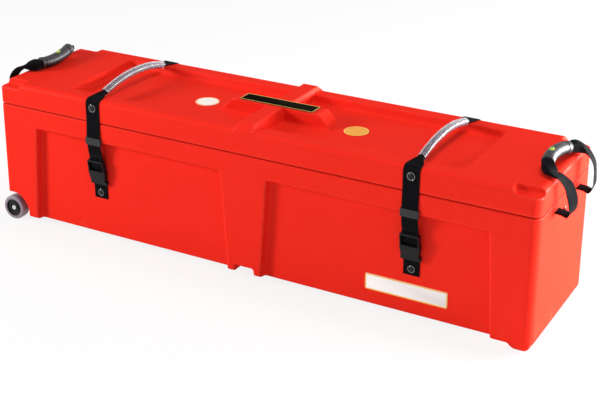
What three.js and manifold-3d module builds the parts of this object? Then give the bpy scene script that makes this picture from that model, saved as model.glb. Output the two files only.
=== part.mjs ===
// A long moulded case for drum stands, with a hinged lid, two wheels, four handles and two buckled straps.
// Millimetres. X runs along the case, away from the wheels. The buckles are at the front, on -Y.
// Z is up from the ground, and the origin lies under the middle of the whole case.
import * as THREE from 'three';
import { mergeVertices } from 'three/addons/utils/BufferGeometryUtils.js';
import Module from 'manifold-3d';

const wasm = await Module();
wasm.setup();

// Shell of the base and the lid
const caseLength = 1290;
const caseWidth = 316;
const seamHeight = 290;
const skirtHeight = 53;
const baseClearance = 14.5;
const wall = 5;
const cornerRadius = 19;
const wheelEndCornerRadius = 8;
const seamGap = 0.5;
const seamRounding = 2;
const endBottomRadius = 8;
const sideBottomRadius = 8;
const innerEndRadius = 11;
const lidEdgeRadius = 12;
const lipHeight = 12;
const lipThickness = 4;
const lipClearance = 1.2;
const ledgeDrop = 16;
const ledgeSlope = 6;

// Sunk panels in the front and the back
const bandHeight = 46;
const panelDepth = 18;
const panelDraft = 3.5;
const pillarTop = 112;
const pillarBottom = 80;
const endMarginTop = 97;
const endMarginBottom = 84;

// Cross on the lid, the groove under the base that it fits when cases are stacked, and the sunk lid top
const recessEndRim = 168;
const recessSideRim = 40;
const recessDepth = 18;
const recessSlope = 6;
const recessCorner = 10;
const crossHeight = 12;
const longArmTop = 212;
const longArmWidth = 40;
const crossArmTopInset = 18;
const crossArmFootInset = 3;
const crossArmWidth = 38;
const armDraft = 2.5;
const armEdge = 1.5;
const grooveClearance = 4;
const grooveHeadroom = 5;
const grooveDraft = 2;

// Lid corners that take the feet of a case on top
const notchLength = 58;
const notchWidth = 30;
const notchDepth = 13;
const notchSlope = 7;
const notchDraft = 2;

// Feet at the end without wheels
const footLength = 51;
const footWidth = 42;
const footInset = 2;
const backFootInset = 6;
const footTaper = 15;
const footCorner = 5;

// Wheels
const tyreRadius = 29;
const hubRadius = 20.5;
const wheelWidth = 25;
const wheelInset = 13;
const archRadius = 45;
const archInset = 14;
const archDrop = 4;
const archDepth = 34;
const axleRadius = 4;
const axleHead = 6;
const axleHeadHeight = 3;
const axleCollar = 8;
const axleTail = 11;
const nutRadius = 6.5;
const nutHeight = 6;
const hubDish = 4;
const hubBoss = 9;
const tyreCrown = 3;

// Webbing, rivets and running gaps
const webThickness = 1.6;
const fit = 0.3;
const bendGap = 0.45;
const bendTaper = 2;
const bendTip = 0.18;
const shankRadius = 2.5;
const headHeight = 2.6;
const tailRadius = 6;
const tailHeight = 1.2;
const lidRivetRadius = 9.5;
const tabRivetRadius = 8.5;
const anchorRivetRadius = 5;

// Straps over the lid, with a tube grip on each
const strapInset = 262;
const strapWidth = 36;
const lidRivetDrop = 19;
const strapBackEnd = 8;
const tubeInset = 46;
const tubeRadius = 8.5;
const tubeWall = 1.6;
const tubeEndRise = 4.5;
const tubeRise = 21;
const coreShare = 0.85;
const shoulderInset = 27;
const shoulderWidth = 24;
const shoulderRise = 2.6;
const shoulderThickness = 4;
const neckInset = 38;
const neckWidth = 16;
const neckRise = 4.6;
const neckThickness = 7;

// Hinge webbing at the back
const hingeStrapDrop = 35;
const hingeRivetDrop = 24;

// Latch strap with its keeper and buckle
const latchPivotRise = 4;
const keeperDrop = 44;
const keeperHeight = 17;
const keeperWidth = 40;
const keeperFront = 2.2;
const keeperBack = 1.2;
const keeperLead = 8;
const tabBendShare = 0.4397;
const tabTail = 25;
const tabRivetDrop = 11;
const receiverRise = 20;
const receiverLength = 54;
const receiverTopWidth = 41;
const receiverMiddleWidth = 43.5;
const receiverBottomWidth = 37;
const receiverFront = 8;
const receiverBack = 3.5;
const receiverWall = 2.5;
const receiverRail = 1.7;
const receiverBar = 4;
const windowLength = 23;
const middleBar = 4;
const middleBarDrop = 9;
const tongueBase = 7.5;
const tongueWidth = 44;
const tongueFront = 5;
const tongueBack = 2.2;
const tongueReach = 24;
const prongWidth = 29;
const prongGap = 10;
const prongBack = 1;
const prongFront = 3.5;
const tongueSocket = 6;

// End handles. Their middle lies a little behind the case's own.
const handleShift = 8;
const gripRadius = 11.2;
const gripBore = 6.7;
const gripCore = 5.2;
const cuffRadius = 12;
const legWidth = 28;
const legThickness = 1.8;
const legBendOut = 25;
const legBendDrop = 25;
const slotDrop = 20;
const slotHeight = 3;
const tailLength = 22;
const anchorLength = 168;
const anchorEnd = 17;
const anchorHeight = 18;
const anchorThickness = 2;
const anchorDrop = 34;
const anchorRivetSpread = 32;
// Grip points as inboard of the end wall, along the wall from the handle's middle, and above the lid.
// Leg points as outside the end wall, along the wall from the slot's middle, and above the bend.
const handlePlaces = {
  right: {
    grip: [[29, -54, 18], [29.5, -6, 23.5], [15.5, 52, 15.5]],
    front: [[34.5, 2, 11], [37, 3, 25], [31, 4, 43], [20, 3, 61], [6.5, -1, 76], [-9, -4.5, 88], [-21.5, -1, 93.5]],
    back: [[33.5, 1, 9], [38, 3, 27], [37, 4, 47], [29, 5, 66], [15, 5.5, 79.5], [0.5, 3, 87.5], [-9.5, -6, 92]],
  },
  left: {
    grip: [[30, -58, 16.5], [35, -8, 15], [29, 52, 22.5]],
    front: [[34.5, -7, 11], [38, -12, 29], [35, -17, 51], [27, -19, 71], [14, -18, 83], [-1, -15.5, 91], [-17, -8, 94]],
    back: [[32, 2, 9], [36, 3, 27], [32, 4, 45], [22, 5, 63], [9, 6.5, 77.5], [-5, 5, 88], [-18, -2, 95.5]],
  },
};
// How wide and thick the webbing is at each leg point, as shares of the way from flat to gathered
const legGatherShares = [0, 0, 0, 0, 0.04, 0.5, 1];
const legTwistShares = [0.2, 0.6, 0.9, 1, 0.8, 0.3, 0];
const legTwist = Math.PI * 0.23;

// Plate on the cross, round badges and the front label
const plateLength = 180;
const plateWidth = 38;
const plateThickness = 1.2;
const badgeRadius = 27;
const badgeGap = 22;
const badgeThickness = 0.8;
const labelLength = 182;
const labelHeight = 36;
const labelThickness = 0.8;
const labelInset = 273;
const labelDrop = 37.5;

// How far a cutting shape runs past the surface that it cuts, and how near two corners count as one
const overrun = 6;
const sameCorner = 0.0001;

// Facets of round pieces
const cornerSteps = 4;
const wheelSides = 32;
const rivetSides = 12;
const tubeSides = 12;
const tubeSteps = 16;
const gripSteps = 12;
const holeSides = 16;
const nutSides = 6;

const halfLength = caseLength / 2;
const halfWidth = caseWidth / 2;
const baseTop = seamHeight - seamGap / 2;
const lidBottom = seamHeight + seamGap / 2;
const lidTop = seamHeight + skirtHeight;
const recessFloor = lidTop - recessDepth;
const crossTop = lidTop + crossHeight;
const panelTop = seamHeight - bandHeight;
const tabBendHeight = seamHeight * tabBendShare;
const slotSpread = anchorLength - 2 * anchorEnd;
const panelFloor = halfWidth - panelDepth;
const webHalf = webThickness / 2;

// A closed geometry with its faces pointing out
function outward(geometry) {
  const bare = new THREE.BufferGeometry();
  bare.setAttribute('position', geometry.getAttribute('position'));
  if (geometry.index) bare.setIndex(geometry.index);
  const merged = mergeVertices(bare, sameCorner);
  const place = merged.getAttribute('position');
  const corner = [0, 1, 2].map(() => new THREE.Vector3());
  const kept = [];
  let volume = 0;
  for (let i = 0; i < merged.index.count; i += 3) {
    const face = [0, 1, 2].map((k) => merged.index.getX(i + k));
    if (new Set(face).size < 3) continue;
    kept.push(...face);
    face.forEach((vertex, k) => corner[k].fromBufferAttribute(place, vertex));
    volume += corner[0].dot(corner[1].cross(corner[2]));
  }
  if (volume < 0) kept.reverse();
  merged.setIndex(kept);
  return merged;
}

function solid(geometry) {
  const closed = outward(geometry);
  return new wasm.Manifold(new wasm.Mesh({
    numProp: 3,
    vertProperties: new Float32Array(closed.getAttribute('position').array),
    triVerts: new Uint32Array(closed.index.array),
  }));
}

function cut(body, ...tools) {
  return tools.reduce((left, tool) => left.subtract(tool), body);
}

function join(body, ...others) {
  return others.reduce((sum, other) => sum.add(other), body);
}

// A closed skin over rings that hold the same number of points, with a flat cap at each end
function loft(rings) {
  const count = rings[0].length;
  const points = rings.flat().flatMap((point) => [point.x, point.y, point.z]);
  const faces = [];
  for (let ring = 0; ring + 1 < rings.length; ring += 1) {
    for (let i = 0; i < count; i += 1) {
      const a = ring * count + i;
      const b = ring * count + ((i + 1) % count);
      faces.push(a, b, b + count, a, b + count, a + count);
    }
  }
  const last = (rings.length - 1) * count;
  for (let i = 1; i + 1 < count; i += 1) {
    faces.push(0, i + 1, i, last, last + i, last + i + 1);
  }
  const skin = new THREE.BufferGeometry();
  skin.setAttribute('position', new THREE.Float32BufferAttribute(points, 3));
  skin.setIndex(faces);
  return skin;
}

// A level ring with rounded corners, which may have another radius on the wheels' side
function roundRing(halfX, halfY, radius, z, wheelEndRadius = radius) {
  const ring = [];
  const middles = [[1, 1], [-1, 1], [-1, -1], [1, -1]];
  middles.forEach(([signX, signY], quarter) => {
    const own = signX < 0 ? wheelEndRadius : radius;
    for (let step = 0; step <= cornerSteps; step += 1) {
      const angle = (Math.PI / 2) * (quarter + step / cornerSteps);
      ring.push(new THREE.Vector3(
        signX * (halfX - own) + own * Math.cos(angle),
        signY * (halfY - own) + own * Math.sin(angle),
        z,
      ));
    }
  });
  return ring;
}

// A level ring with four corners
function squareRing(left, right, front, back, z) {
  return [[left, front], [right, front], [right, back], [left, back]]
    .map(([x, y]) => new THREE.Vector3(x, y, z));
}

// A level ring as far inside the case's outline as the insets say
function shellRing(insetX, insetY, z) {
  const inset = Math.min(insetX, insetY);
  const radius = Math.max(cornerRadius - inset, seamRounding);
  const wheelEndRadius = Math.max(wheelEndCornerRadius - inset, seamRounding);
  return roundRing(halfLength - insetX, halfWidth - insetY, radius, z, wheelEndRadius);
}

// How far a rounded edge lies inside its wall, at a height above the edge's foot
function edgeInset(radius, height) {
  const left = Math.max(radius - height, 0);
  return radius - Math.sqrt(radius * radius - left * left);
}

function block(sizeX, sizeY, sizeZ, x, y, z) {
  return new THREE.BoxGeometry(sizeX, sizeY, sizeZ).translate(x, y, z);
}

function polygon(points) {
  return new THREE.Shape(points.map(([x, y]) => new THREE.Vector2(x, y)));
}

function circle(radius, sides) {
  const turn = (2 * Math.PI) / sides;
  return polygon(Array.from({ length: sides }, (_, i) => (
    [radius * Math.cos(turn * i), radius * Math.sin(turn * i)]
  )));
}

function tube(path, radius, steps) {
  return new THREE.ExtrudeGeometry(circle(radius, tubeSides), {
    steps, bevelEnabled: false, extrudePath: path,
  });
}

function prism(shape, depth) {
  return new THREE.ExtrudeGeometry(shape, { depth, bevelEnabled: false });
}

// A strip along a path in a plane. Each station holds its place in that plane, the strip's middle
// across the plane, and its half width and half thickness. The last argument turns plane into space.
const stripCornerShare = 0.4;
function strip(stations, toSpace) {
  const rings = stations.map(([a, b, c, wide, thick], i) => {
    const before = stations[Math.max(i - 1, 0)];
    const after = stations[Math.min(i + 1, stations.length - 1)];
    const into = new THREE.Vector2(a - before[0], b - before[1]).normalize();
    const out = new THREE.Vector2(after[0] - a, after[1] - b).normalize();
    const along = into.clone().add(out).normalize();
    const own = i ? into : out;
    const mitre = thick / along.dot(own);
    const chamfer = stripCornerShare * Math.min(wide, thick);
    const slim = mitre * (1 - chamfer / thick);
    const narrow = wide - chamfer;
    return [
      [wide, -slim], [wide, slim], [narrow, mitre], [-narrow, mitre],
      [-wide, slim], [-wide, -slim], [-narrow, -mitre], [narrow, -mitre],
    ].map(([across, off]) => toSpace(a - along.y * off, b + along.x * off, c + across));
  });
  return loft(rings);
}
const acrossX = (a, b, c) => new THREE.Vector3(c, a, b);
const acrossY = (a, b, c) => new THREE.Vector3(a, c, b);

// A rivet: a low dome, a shank and a flat tail, with the dome's foot at the origin and its top on +Y
const domeShares = [[0, 1], [0.35, 0.94], [0.62, 0.76], [0.8, 0.5], [1, 0.3], [1, 0]];
function rivet(radius, gripped) {
  const dome = domeShares.map(([r, h]) => new THREE.Vector2(r * radius, h * headHeight));
  const tail = Math.min(tailRadius, radius);
  return new THREE.LatheGeometry([
    ...dome,
    new THREE.Vector2(shankRadius, 0),
    new THREE.Vector2(shankRadius, -gripped),
    new THREE.Vector2(tail, -gripped),
    new THREE.Vector2(tail, -gripped - tailHeight),
    new THREE.Vector2(0, -gripped - tailHeight),
  ], rivetSides);
}

// A round hole's cutting shape along Y or X, from one place to another
function holeY(radius, x, from, to, z) {
  return solid(new THREE.CylinderGeometry(radius, radius, Math.abs(to - from), holeSides)
    .translate(x, (from + to) / 2, z));
}
function holeX(radius, from, to, y, z) {
  return solid(new THREE.CylinderGeometry(radius, radius, Math.abs(to - from), holeSides)
    .rotateZ(Math.PI / 2).translate((from + to) / 2, y, z));
}

const group = new THREE.Group();

function piece(name, made, color, roughness, metalness, place = group) {
  let geometry = made;
  if (!made.isBufferGeometry) {
    const mesh = made.getMesh();
    geometry = new THREE.BufferGeometry();
    geometry.setAttribute('position', new THREE.BufferAttribute(mesh.vertProperties, mesh.numProp));
    geometry.setIndex(new THREE.BufferAttribute(mesh.triVerts, 1));
  } else {
    geometry = outward(made);
  }
  geometry.computeVertexNormals();
  const material = new THREE.MeshStandardMaterial({ color, roughness, metalness, flatShading: true });
  const mesh = new THREE.Mesh(geometry, material);
  mesh.name = name;
  place.add(mesh);
  return mesh;
}

const red = 0xe6241a;
const webBlack = 0x17171a;
const plasticGrey = 0x2b2b30;
const nickel = 0x8e9094;

// Sunk panel on one half of the front or back, grown outward for the inner skin
function panel(signX, signY, grow) {
  const slope = (pillarTop - pillarBottom) / 2 / (panelTop - baseClearance);
  const outerSlope = (endMarginTop - endMarginBottom) / (panelTop - baseClearance);
  const foot = baseClearance - overrun;
  const ring = (shrink, y) => {
    const top = panelTop + grow - shrink;
    return [[top, 1], [top, 0], [foot, 0], [foot, 1]].map(([z, inner]) => {
      const near = pillarTop / 2 - slope * (panelTop - z) - grow + shrink;
      const far = halfLength - endMarginTop + outerSlope * (panelTop - z) + grow - shrink;
      return new THREE.Vector3(signX * (inner ? near : far), signY * y, z);
    });
  };
  return solid(loft([
    ring(0, halfWidth + overrun),
    ring(0, halfWidth),
    ring(panelDraft, panelFloor - grow),
  ]));
}

const wheelX = -(halfLength - wheelInset);
const archX = -(halfLength - archInset);
const archZ = tyreRadius - archDrop;
function arch(signY, grow) {
  const inner = halfWidth - archDepth - grow;
  const outer = halfWidth + overrun;
  return solid(new THREE.CylinderGeometry(archRadius + grow, archRadius + grow, outer - inner, wheelSides)
    .translate(archX, signY * (outer + inner) / 2, archZ));
}

// Groove under the base, as wide as the cross on the lid and a clearance
function grooves(grow) {
  const foot = baseClearance - overrun;
  const top = baseClearance + crossHeight + grooveHeadroom + grow;
  const halfX = crossArmWidth / 2 + armDraft + grooveClearance + grow;
  const across = loft([
    squareRing(-halfX, halfX, -halfWidth - overrun, halfWidth + overrun, foot),
    squareRing(-halfX + grooveDraft, halfX - grooveDraft, -halfWidth - overrun, halfWidth + overrun, top),
  ]);
  const longX = longArmTop / 2 + recessDepth + crossHeight + grooveClearance + grow;
  const longY = longArmWidth / 2 + armDraft + grooveClearance + grow;
  const along = loft([
    squareRing(-longX, longX, -longY, longY, foot),
    squareRing(-longX + grooveDraft, longX - grooveDraft, -longY + grooveDraft, longY - grooveDraft, top),
  ]);
  return join(solid(across), solid(along));
}

// Foot of a case, as a low bump with a flat bottom
const footLevelShares = [0, 0.12, 0.45, 1];
const footTaperShares = [1, 0.72, 0.35, 0];
function foot(signY, inset) {
  const outX = halfLength - inset;
  const outY = halfWidth - footInset;
  const middleX = outX - footLength / 2;
  const middleY = signY * (outY - footWidth / 2);
  const top = baseClearance + wall;
  const rings = footLevelShares.map((share, i) => roundRing(
    footLength / 2 - footTaper * footTaperShares[i],
    footWidth / 2 - footTaper * footTaperShares[i] * (footWidth / footLength),
    footCorner,
    share * top,
  ));
  return solid(loft(rings).translate(middleX, middleY, 0));
}

// Base
const lipInset = wall + lipClearance;
const ledgeInset = lipInset + lipThickness;
const bottomEdgeShares = [0, 0.13, 0.4, 0.66, 1];
const innerEdgeShares = [0, 0.3, 0.7, 1];
const outerLevels = bottomEdgeShares.map((share) => share * endBottomRadius);
const baseOuter = loft([
  ...outerLevels.map((level) => shellRing(
    edgeInset(endBottomRadius, level), edgeInset(sideBottomRadius, level), baseClearance + level,
  )),
  shellRing(0, 0, baseTop - seamRounding),
  shellRing(seamRounding, seamRounding, baseTop),
  shellRing(lipInset, lipInset, baseTop),
  shellRing(lipInset, lipInset, baseTop + lipHeight),
]);
const innerLevels = innerEdgeShares.map((share) => share * innerEndRadius);
const baseInner = loft([
  ...innerLevels.map((level) => shellRing(
    wall + edgeInset(innerEndRadius, level),
    wall + edgeInset(sideBottomRadius - wall, level),
    baseClearance + wall + level,
  )),
  shellRing(wall, wall, seamHeight - ledgeDrop),
  shellRing(ledgeInset, ledgeInset, seamHeight - ledgeDrop + ledgeSlope),
  shellRing(ledgeInset, ledgeInset, baseTop + lipHeight + overrun),
]);
const sides = [[1, 1], [-1, 1], [-1, -1], [1, -1]];
const hollow = cut(
  solid(baseInner),
  ...sides.map(([x, y]) => panel(x, y, wall)),
  arch(1, wall),
  arch(-1, wall),
  grooves(wall),
);

const strapX = halfLength - strapInset;
const shankHole = shankRadius + fit;
const tabRivetZ = tabBendHeight - tabRivetDrop;
const hingeRivetZ = seamHeight - hingeRivetDrop;
const anchorZ = seamHeight - anchorDrop;
const slotZ = seamHeight - slotDrop;
const baseHoles = [];
for (const side of [1, -1]) {
  baseHoles.push(holeY(shankHole, side * strapX, -panelFloor - overrun, overrun - panelFloor, tabRivetZ));
  baseHoles.push(holeY(shankHole, side * strapX, halfWidth - wall - overrun, halfWidth + overrun, hingeRivetZ));
  for (const end of [1, -1]) {
    const from = end * (halfLength - wall - overrun);
    const to = end * (halfLength + overrun);
    baseHoles.push(holeX(shankHole, from, to, handleShift + side * anchorRivetSpread / 2, anchorZ));
    baseHoles.push(solid(block(
      Math.abs(to - from), legWidth + 2 * fit + seamRounding, slotHeight,
      (from + to) / 2, handleShift + side * slotSpread / 2, slotZ,
    )));
  }
  const wheelWall = side * (halfWidth - archDepth);
  baseHoles.push(holeY(axleRadius + fit, wheelX, wheelWall - overrun, wheelWall + overrun, tyreRadius));
}
const base = cut(
  join(
    cut(solid(baseOuter), ...sides.map(([x, y]) => panel(x, y, 0)), arch(1, 0), arch(-1, 0), grooves(0)),
    foot(1, backFootInset),
    foot(-1, footInset),
  ),
  hollow,
  ...baseHoles,
);
piece('case_base', base, red, 0.38, 0);

// Lid
const lidEdgeShares = [0.25, 0.5, 0.75, 1];
function lidRings(inset, bottom) {
  const radius = lidEdgeRadius - inset;
  const rings = lidEdgeShares.map((share) => {
    const angle = share * Math.PI / 2;
    const within = inset + radius * (1 - Math.cos(angle));
    return shellRing(within, within, lidTop - lidEdgeRadius + radius * Math.sin(angle));
  });
  return [...bottom, shellRing(inset, inset, lidTop - lidEdgeRadius), ...rings];
}
const lidOuter = loft(lidRings(0, [
  shellRing(seamRounding, seamRounding, lidBottom),
  shellRing(0, 0, lidBottom + seamRounding),
]));
const lidInner = loft(lidRings(wall, [shellRing(wall, wall, lidBottom - overrun)]));

function recess(grow) {
  const ring = (shrink, z) => roundRing(
    halfLength - recessEndRim + grow - shrink, halfWidth - recessSideRim + grow - shrink, recessCorner, z,
  );
  return solid(loft([ring(0, lidTop + overrun), ring(0, lidTop), ring(recessSlope, recessFloor - grow)]));
}

function notch(signX, signY, grow) {
  const outX = halfLength + overrun;
  const outY = halfWidth + overrun;
  const nearX = halfLength - notchLength - grow;
  const nearY = halfWidth - notchWidth - grow;
  const ring = (slopeX, slopeY, z) => {
    const far = signX * outX;
    const near = signX * (nearX + slopeX);
    const front = signY * (nearY + slopeY);
    return squareRing(near, far, front, signY * outY, z);
  };
  return solid(loft([
    ring(0, 0, lidTop + overrun),
    ring(0, 0, lidTop),
    ring(notchSlope, notchDraft, lidTop - notchDepth - grow),
  ]));
}

// The raised cross, or the room inside it
function cross(inset, from) {
  const halfX = longArmTop / 2;
  const slope = recessDepth + crossHeight;
  const halfY = longArmWidth / 2;
  const along = [
    [halfX + slope, halfY + armDraft, from],
    [halfX + slope, halfY + armDraft, recessFloor],
    [halfX + armEdge, halfY, crossTop - armEdge - inset],
    [halfX, halfY - armEdge, crossTop - inset],
  ];
  const armY = halfWidth - crossArmTopInset;
  const footY = halfWidth - crossArmFootInset;
  const armX = crossArmWidth / 2;
  const across = [
    [armX + armDraft + armEdge, footY, from],
    [armX + armDraft, footY, lidTop],
    [armX, armY + armEdge, crossTop - armEdge - inset],
    [armX - armEdge, armY, crossTop - inset],
  ];
  const ring = ([x, y, z]) => squareRing(inset - x, x - inset, inset - y, y - inset, z);
  return join(solid(loft(along.map(ring))), solid(loft(across.map(ring))));
}

const lidRivetZ = lidTop - lidRivetDrop;
const lidHoles = [];
for (const side of [1, -1]) {
  for (const face of [1, -1]) {
    const from = face * (halfWidth - wall - overrun);
    lidHoles.push(holeY(shankHole, side * strapX, from, face * (halfWidth + overrun), lidRivetZ));
  }
}
const lidHollow = join(
  cut(solid(lidInner), recess(wall), ...sides.map(([x, y]) => notch(x, y, wall))),
  cross(wall, recessFloor - wall - overrun),
);
const lid = cut(
  join(
    cut(solid(lidOuter), recess(0), ...sides.map(([x, y]) => notch(x, y, 0))),
    cross(0, recessFloor - wall),
  ),
  lidHollow,
  ...lidHoles,
);
piece('lid', lid, red, 0.38, 0);

// Wheels: the tyre, the stepped hub and the bolt that it runs on
for (const face of [-1, 1]) {
  const end = face < 0 ? 'front' : 'back';
  const place = new THREE.Group();
  place.position.set(wheelX, face * halfWidth, tyreRadius);
  place.rotation.z = face < 0 ? Math.PI : 0;
  group.add(place);
  const inside = -wheelWidth;
  const tyreBore = hubRadius + fit;
  const tyre = new THREE.LatheGeometry([
    [tyreBore, inside], [tyreRadius - tyreCrown, inside], [tyreRadius, inside + tyreCrown],
    [tyreRadius, -tyreCrown], [tyreRadius - tyreCrown, 0], [tyreBore, 0], [tyreBore, inside],
  ].map(([r, y]) => new THREE.Vector2(r, y)), wheelSides);
  piece(`tyre_${end}`, tyre, 0x4a4552, 0.6, 0, place);
  const bore = axleRadius + fit;
  const headSeat = -axleHeadHeight - fit;
  const hub = new THREE.LatheGeometry([
    [bore, inside], [hubRadius, inside], [hubRadius, 0], [hubRadius - hubDish / 2, 0],
    [hubRadius - hubDish, -hubDish], [hubBoss, -hubDish], [hubBoss, headSeat], [bore, headSeat],
    [bore, inside],
  ].map(([r, y]) => new THREE.Vector2(r, y)), wheelSides);
  piece(`wheel_hub_${end}`, hub, 0x1b1b1e, 0.5, 0, place);
  const seat = -archDepth;
  const axle = new THREE.LatheGeometry([
    [0, 0], [axleHead, 0], [axleHead, -axleHeadHeight], [axleRadius, -axleHeadHeight],
    [axleRadius, inside - fit], [axleCollar, inside - fit], [axleCollar, seat + fit], [axleRadius, seat + fit],
    [axleRadius, seat - wall - axleTail], [0, seat - wall - axleTail],
  ].map(([r, y]) => new THREE.Vector2(r, y)), holeSides);
  piece(`wheel_axle_${end}`, axle, 0xc4c6ca, 0.3, 1, place);
  const nutBack = seat - wall - fit - nutHeight;
  const nut = cut(
    solid(new THREE.CylinderGeometry(nutRadius, nutRadius, nutHeight, nutSides)
      .translate(0, nutBack + nutHeight / 2, 0)),
    holeY(axleRadius + fit, 0, nutBack - overrun, nutBack + nutHeight + overrun, 0),
  );
  piece(`axle_nut_${end}`, nut, nickel, 0.35, 1, place);
}

// Straps over the lid
const webOut = halfWidth + fit + webHalf;
const gripped = fit + webThickness + fit + wall + fit;
const tubeHalf = halfWidth - tubeInset;
const coreHalf = (tubeRadius - tubeWall - 2 * fit) * coreShare;
const tubeZ = (share) => lidTop + tubeEndRise + (tubeRise - tubeEndRise) * (1 - share * share);
const tubeShares = [-1, -0.8, -0.6, -0.4, -0.2, 0, 0.2, 0.4, 0.6, 0.8, 1];
const boreShares = [-1.06, ...tubeShares.slice(1, -1), 1.06];
const shoulderShares = [0.2, 0.4, 0.6, 0.8, 1];
const latchPivotZ = seamHeight + latchPivotRise;
const halfStrap = strapWidth / 2;
for (const side of [1, -1]) {
  const end = side > 0 ? 'right' : 'left';
  const x = side * strapX;
  const edge = halfWidth - lidEdgeRadius;
  const round = lidEdgeRadius + fit + webHalf;
  const shoulder = (face) => {
    const stations = [[face * webOut, lidTop - lidEdgeRadius, x, halfStrap, webHalf]];
    for (const share of shoulderShares) {
      const angle = share * Math.PI / 2;
      stations.push([
        face * (edge + round * Math.cos(angle)),
        lidTop - lidEdgeRadius + round * Math.sin(angle),
        x, halfStrap, webHalf,
      ]);
    }
    stations.push([
      face * (halfWidth - shoulderInset), lidTop + shoulderRise, x, shoulderWidth / 2, shoulderThickness / 2,
    ]);
    stations.push([face * (halfWidth - neckInset), lidTop + neckRise, x, neckWidth / 2, neckThickness / 2]);
    return stations;
  };
  const stations = [
    [-webOut, latchPivotZ + bendGap, x, halfStrap, bendTip],
    [-webOut, latchPivotZ + bendTaper, x, halfStrap, webHalf],
    ...shoulder(-1),
    ...tubeShares.map((share) => [share * tubeHalf, tubeZ(share), x, coreHalf, coreHalf]),
    ...shoulder(1).reverse(),
    [webOut, seamHeight + strapBackEnd, x, halfStrap, webHalf],
  ];
  const strap = cut(
    solid(strip(stations, acrossX)),
    holeY(shankHole, x, -halfWidth - overrun, overrun - halfWidth, lidRivetZ),
    holeY(shankHole, x, halfWidth - overrun, halfWidth + overrun, lidRivetZ),
  );
  piece(`lid_strap_${end}`, strap, webBlack, 0.8, 0);
  const arched = (shares) => new THREE.CatmullRomCurve3(shares.map((share) => (
    new THREE.Vector3(x, share * tubeHalf, tubeZ(share))
  )));
  const grip = cut(
    solid(tube(arched(tubeShares), tubeRadius, tubeSteps)),
    solid(tube(arched(boreShares), tubeRadius - tubeWall, tubeSteps)),
  );
  piece(`strap_grip_${end}`, grip, 0xb9b3bf, 0.15, 0);

  for (const face of [-1, 1]) {
    const made = rivet(lidRivetRadius, gripped).rotateX(face < 0 ? Math.PI : 0)
      .translate(x, face * (webOut + webHalf + fit), lidRivetZ);
    piece(`rivet_lid_${face < 0 ? 'front' : 'back'}_${end}`, made, nickel, 0.35, 1);
  }

  const hingeTop = seamHeight + strapBackEnd - fit;
  const hingeStrap = cut(
    solid(strip([
      [webOut, hingeTop, x, halfStrap, webHalf],
      [webOut, seamHeight, x, halfStrap, webHalf],
      [webOut, seamHeight - hingeStrapDrop, x, halfStrap, webHalf],
    ], acrossX)),
    holeY(shankHole, x, halfWidth - overrun, halfWidth + overrun, hingeRivetZ),
  );
  piece(`hinge_strap_${end}`, hingeStrap, webBlack, 0.8, 0);
  piece(`rivet_hinge_${end}`, rivet(lidRivetRadius, gripped)
    .translate(x, webOut + webHalf + fit, hingeRivetZ), nickel, 0.35, 1);
}

// Latch: the hanging strap runs down in front of the band, then slants back to the sunk panel.
const keeperY = -(halfWidth + fit + keeperBack + fit + webHalf);
const keeperZ = seamHeight - keeperDrop;
const slantTop = keeperZ - keeperHeight / 2 + fit;
const tabY = -(panelFloor + fit + webHalf);
const slant = new THREE.Vector2(keeperY - tabY, slantTop - tabBendHeight);
const slantLength = slant.length();
const slantUp = new THREE.Vector3(0, slant.x / slantLength, slant.y / slantLength);
const slantOut = new THREE.Vector3(1, 0, 0).cross(slantUp);
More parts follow.
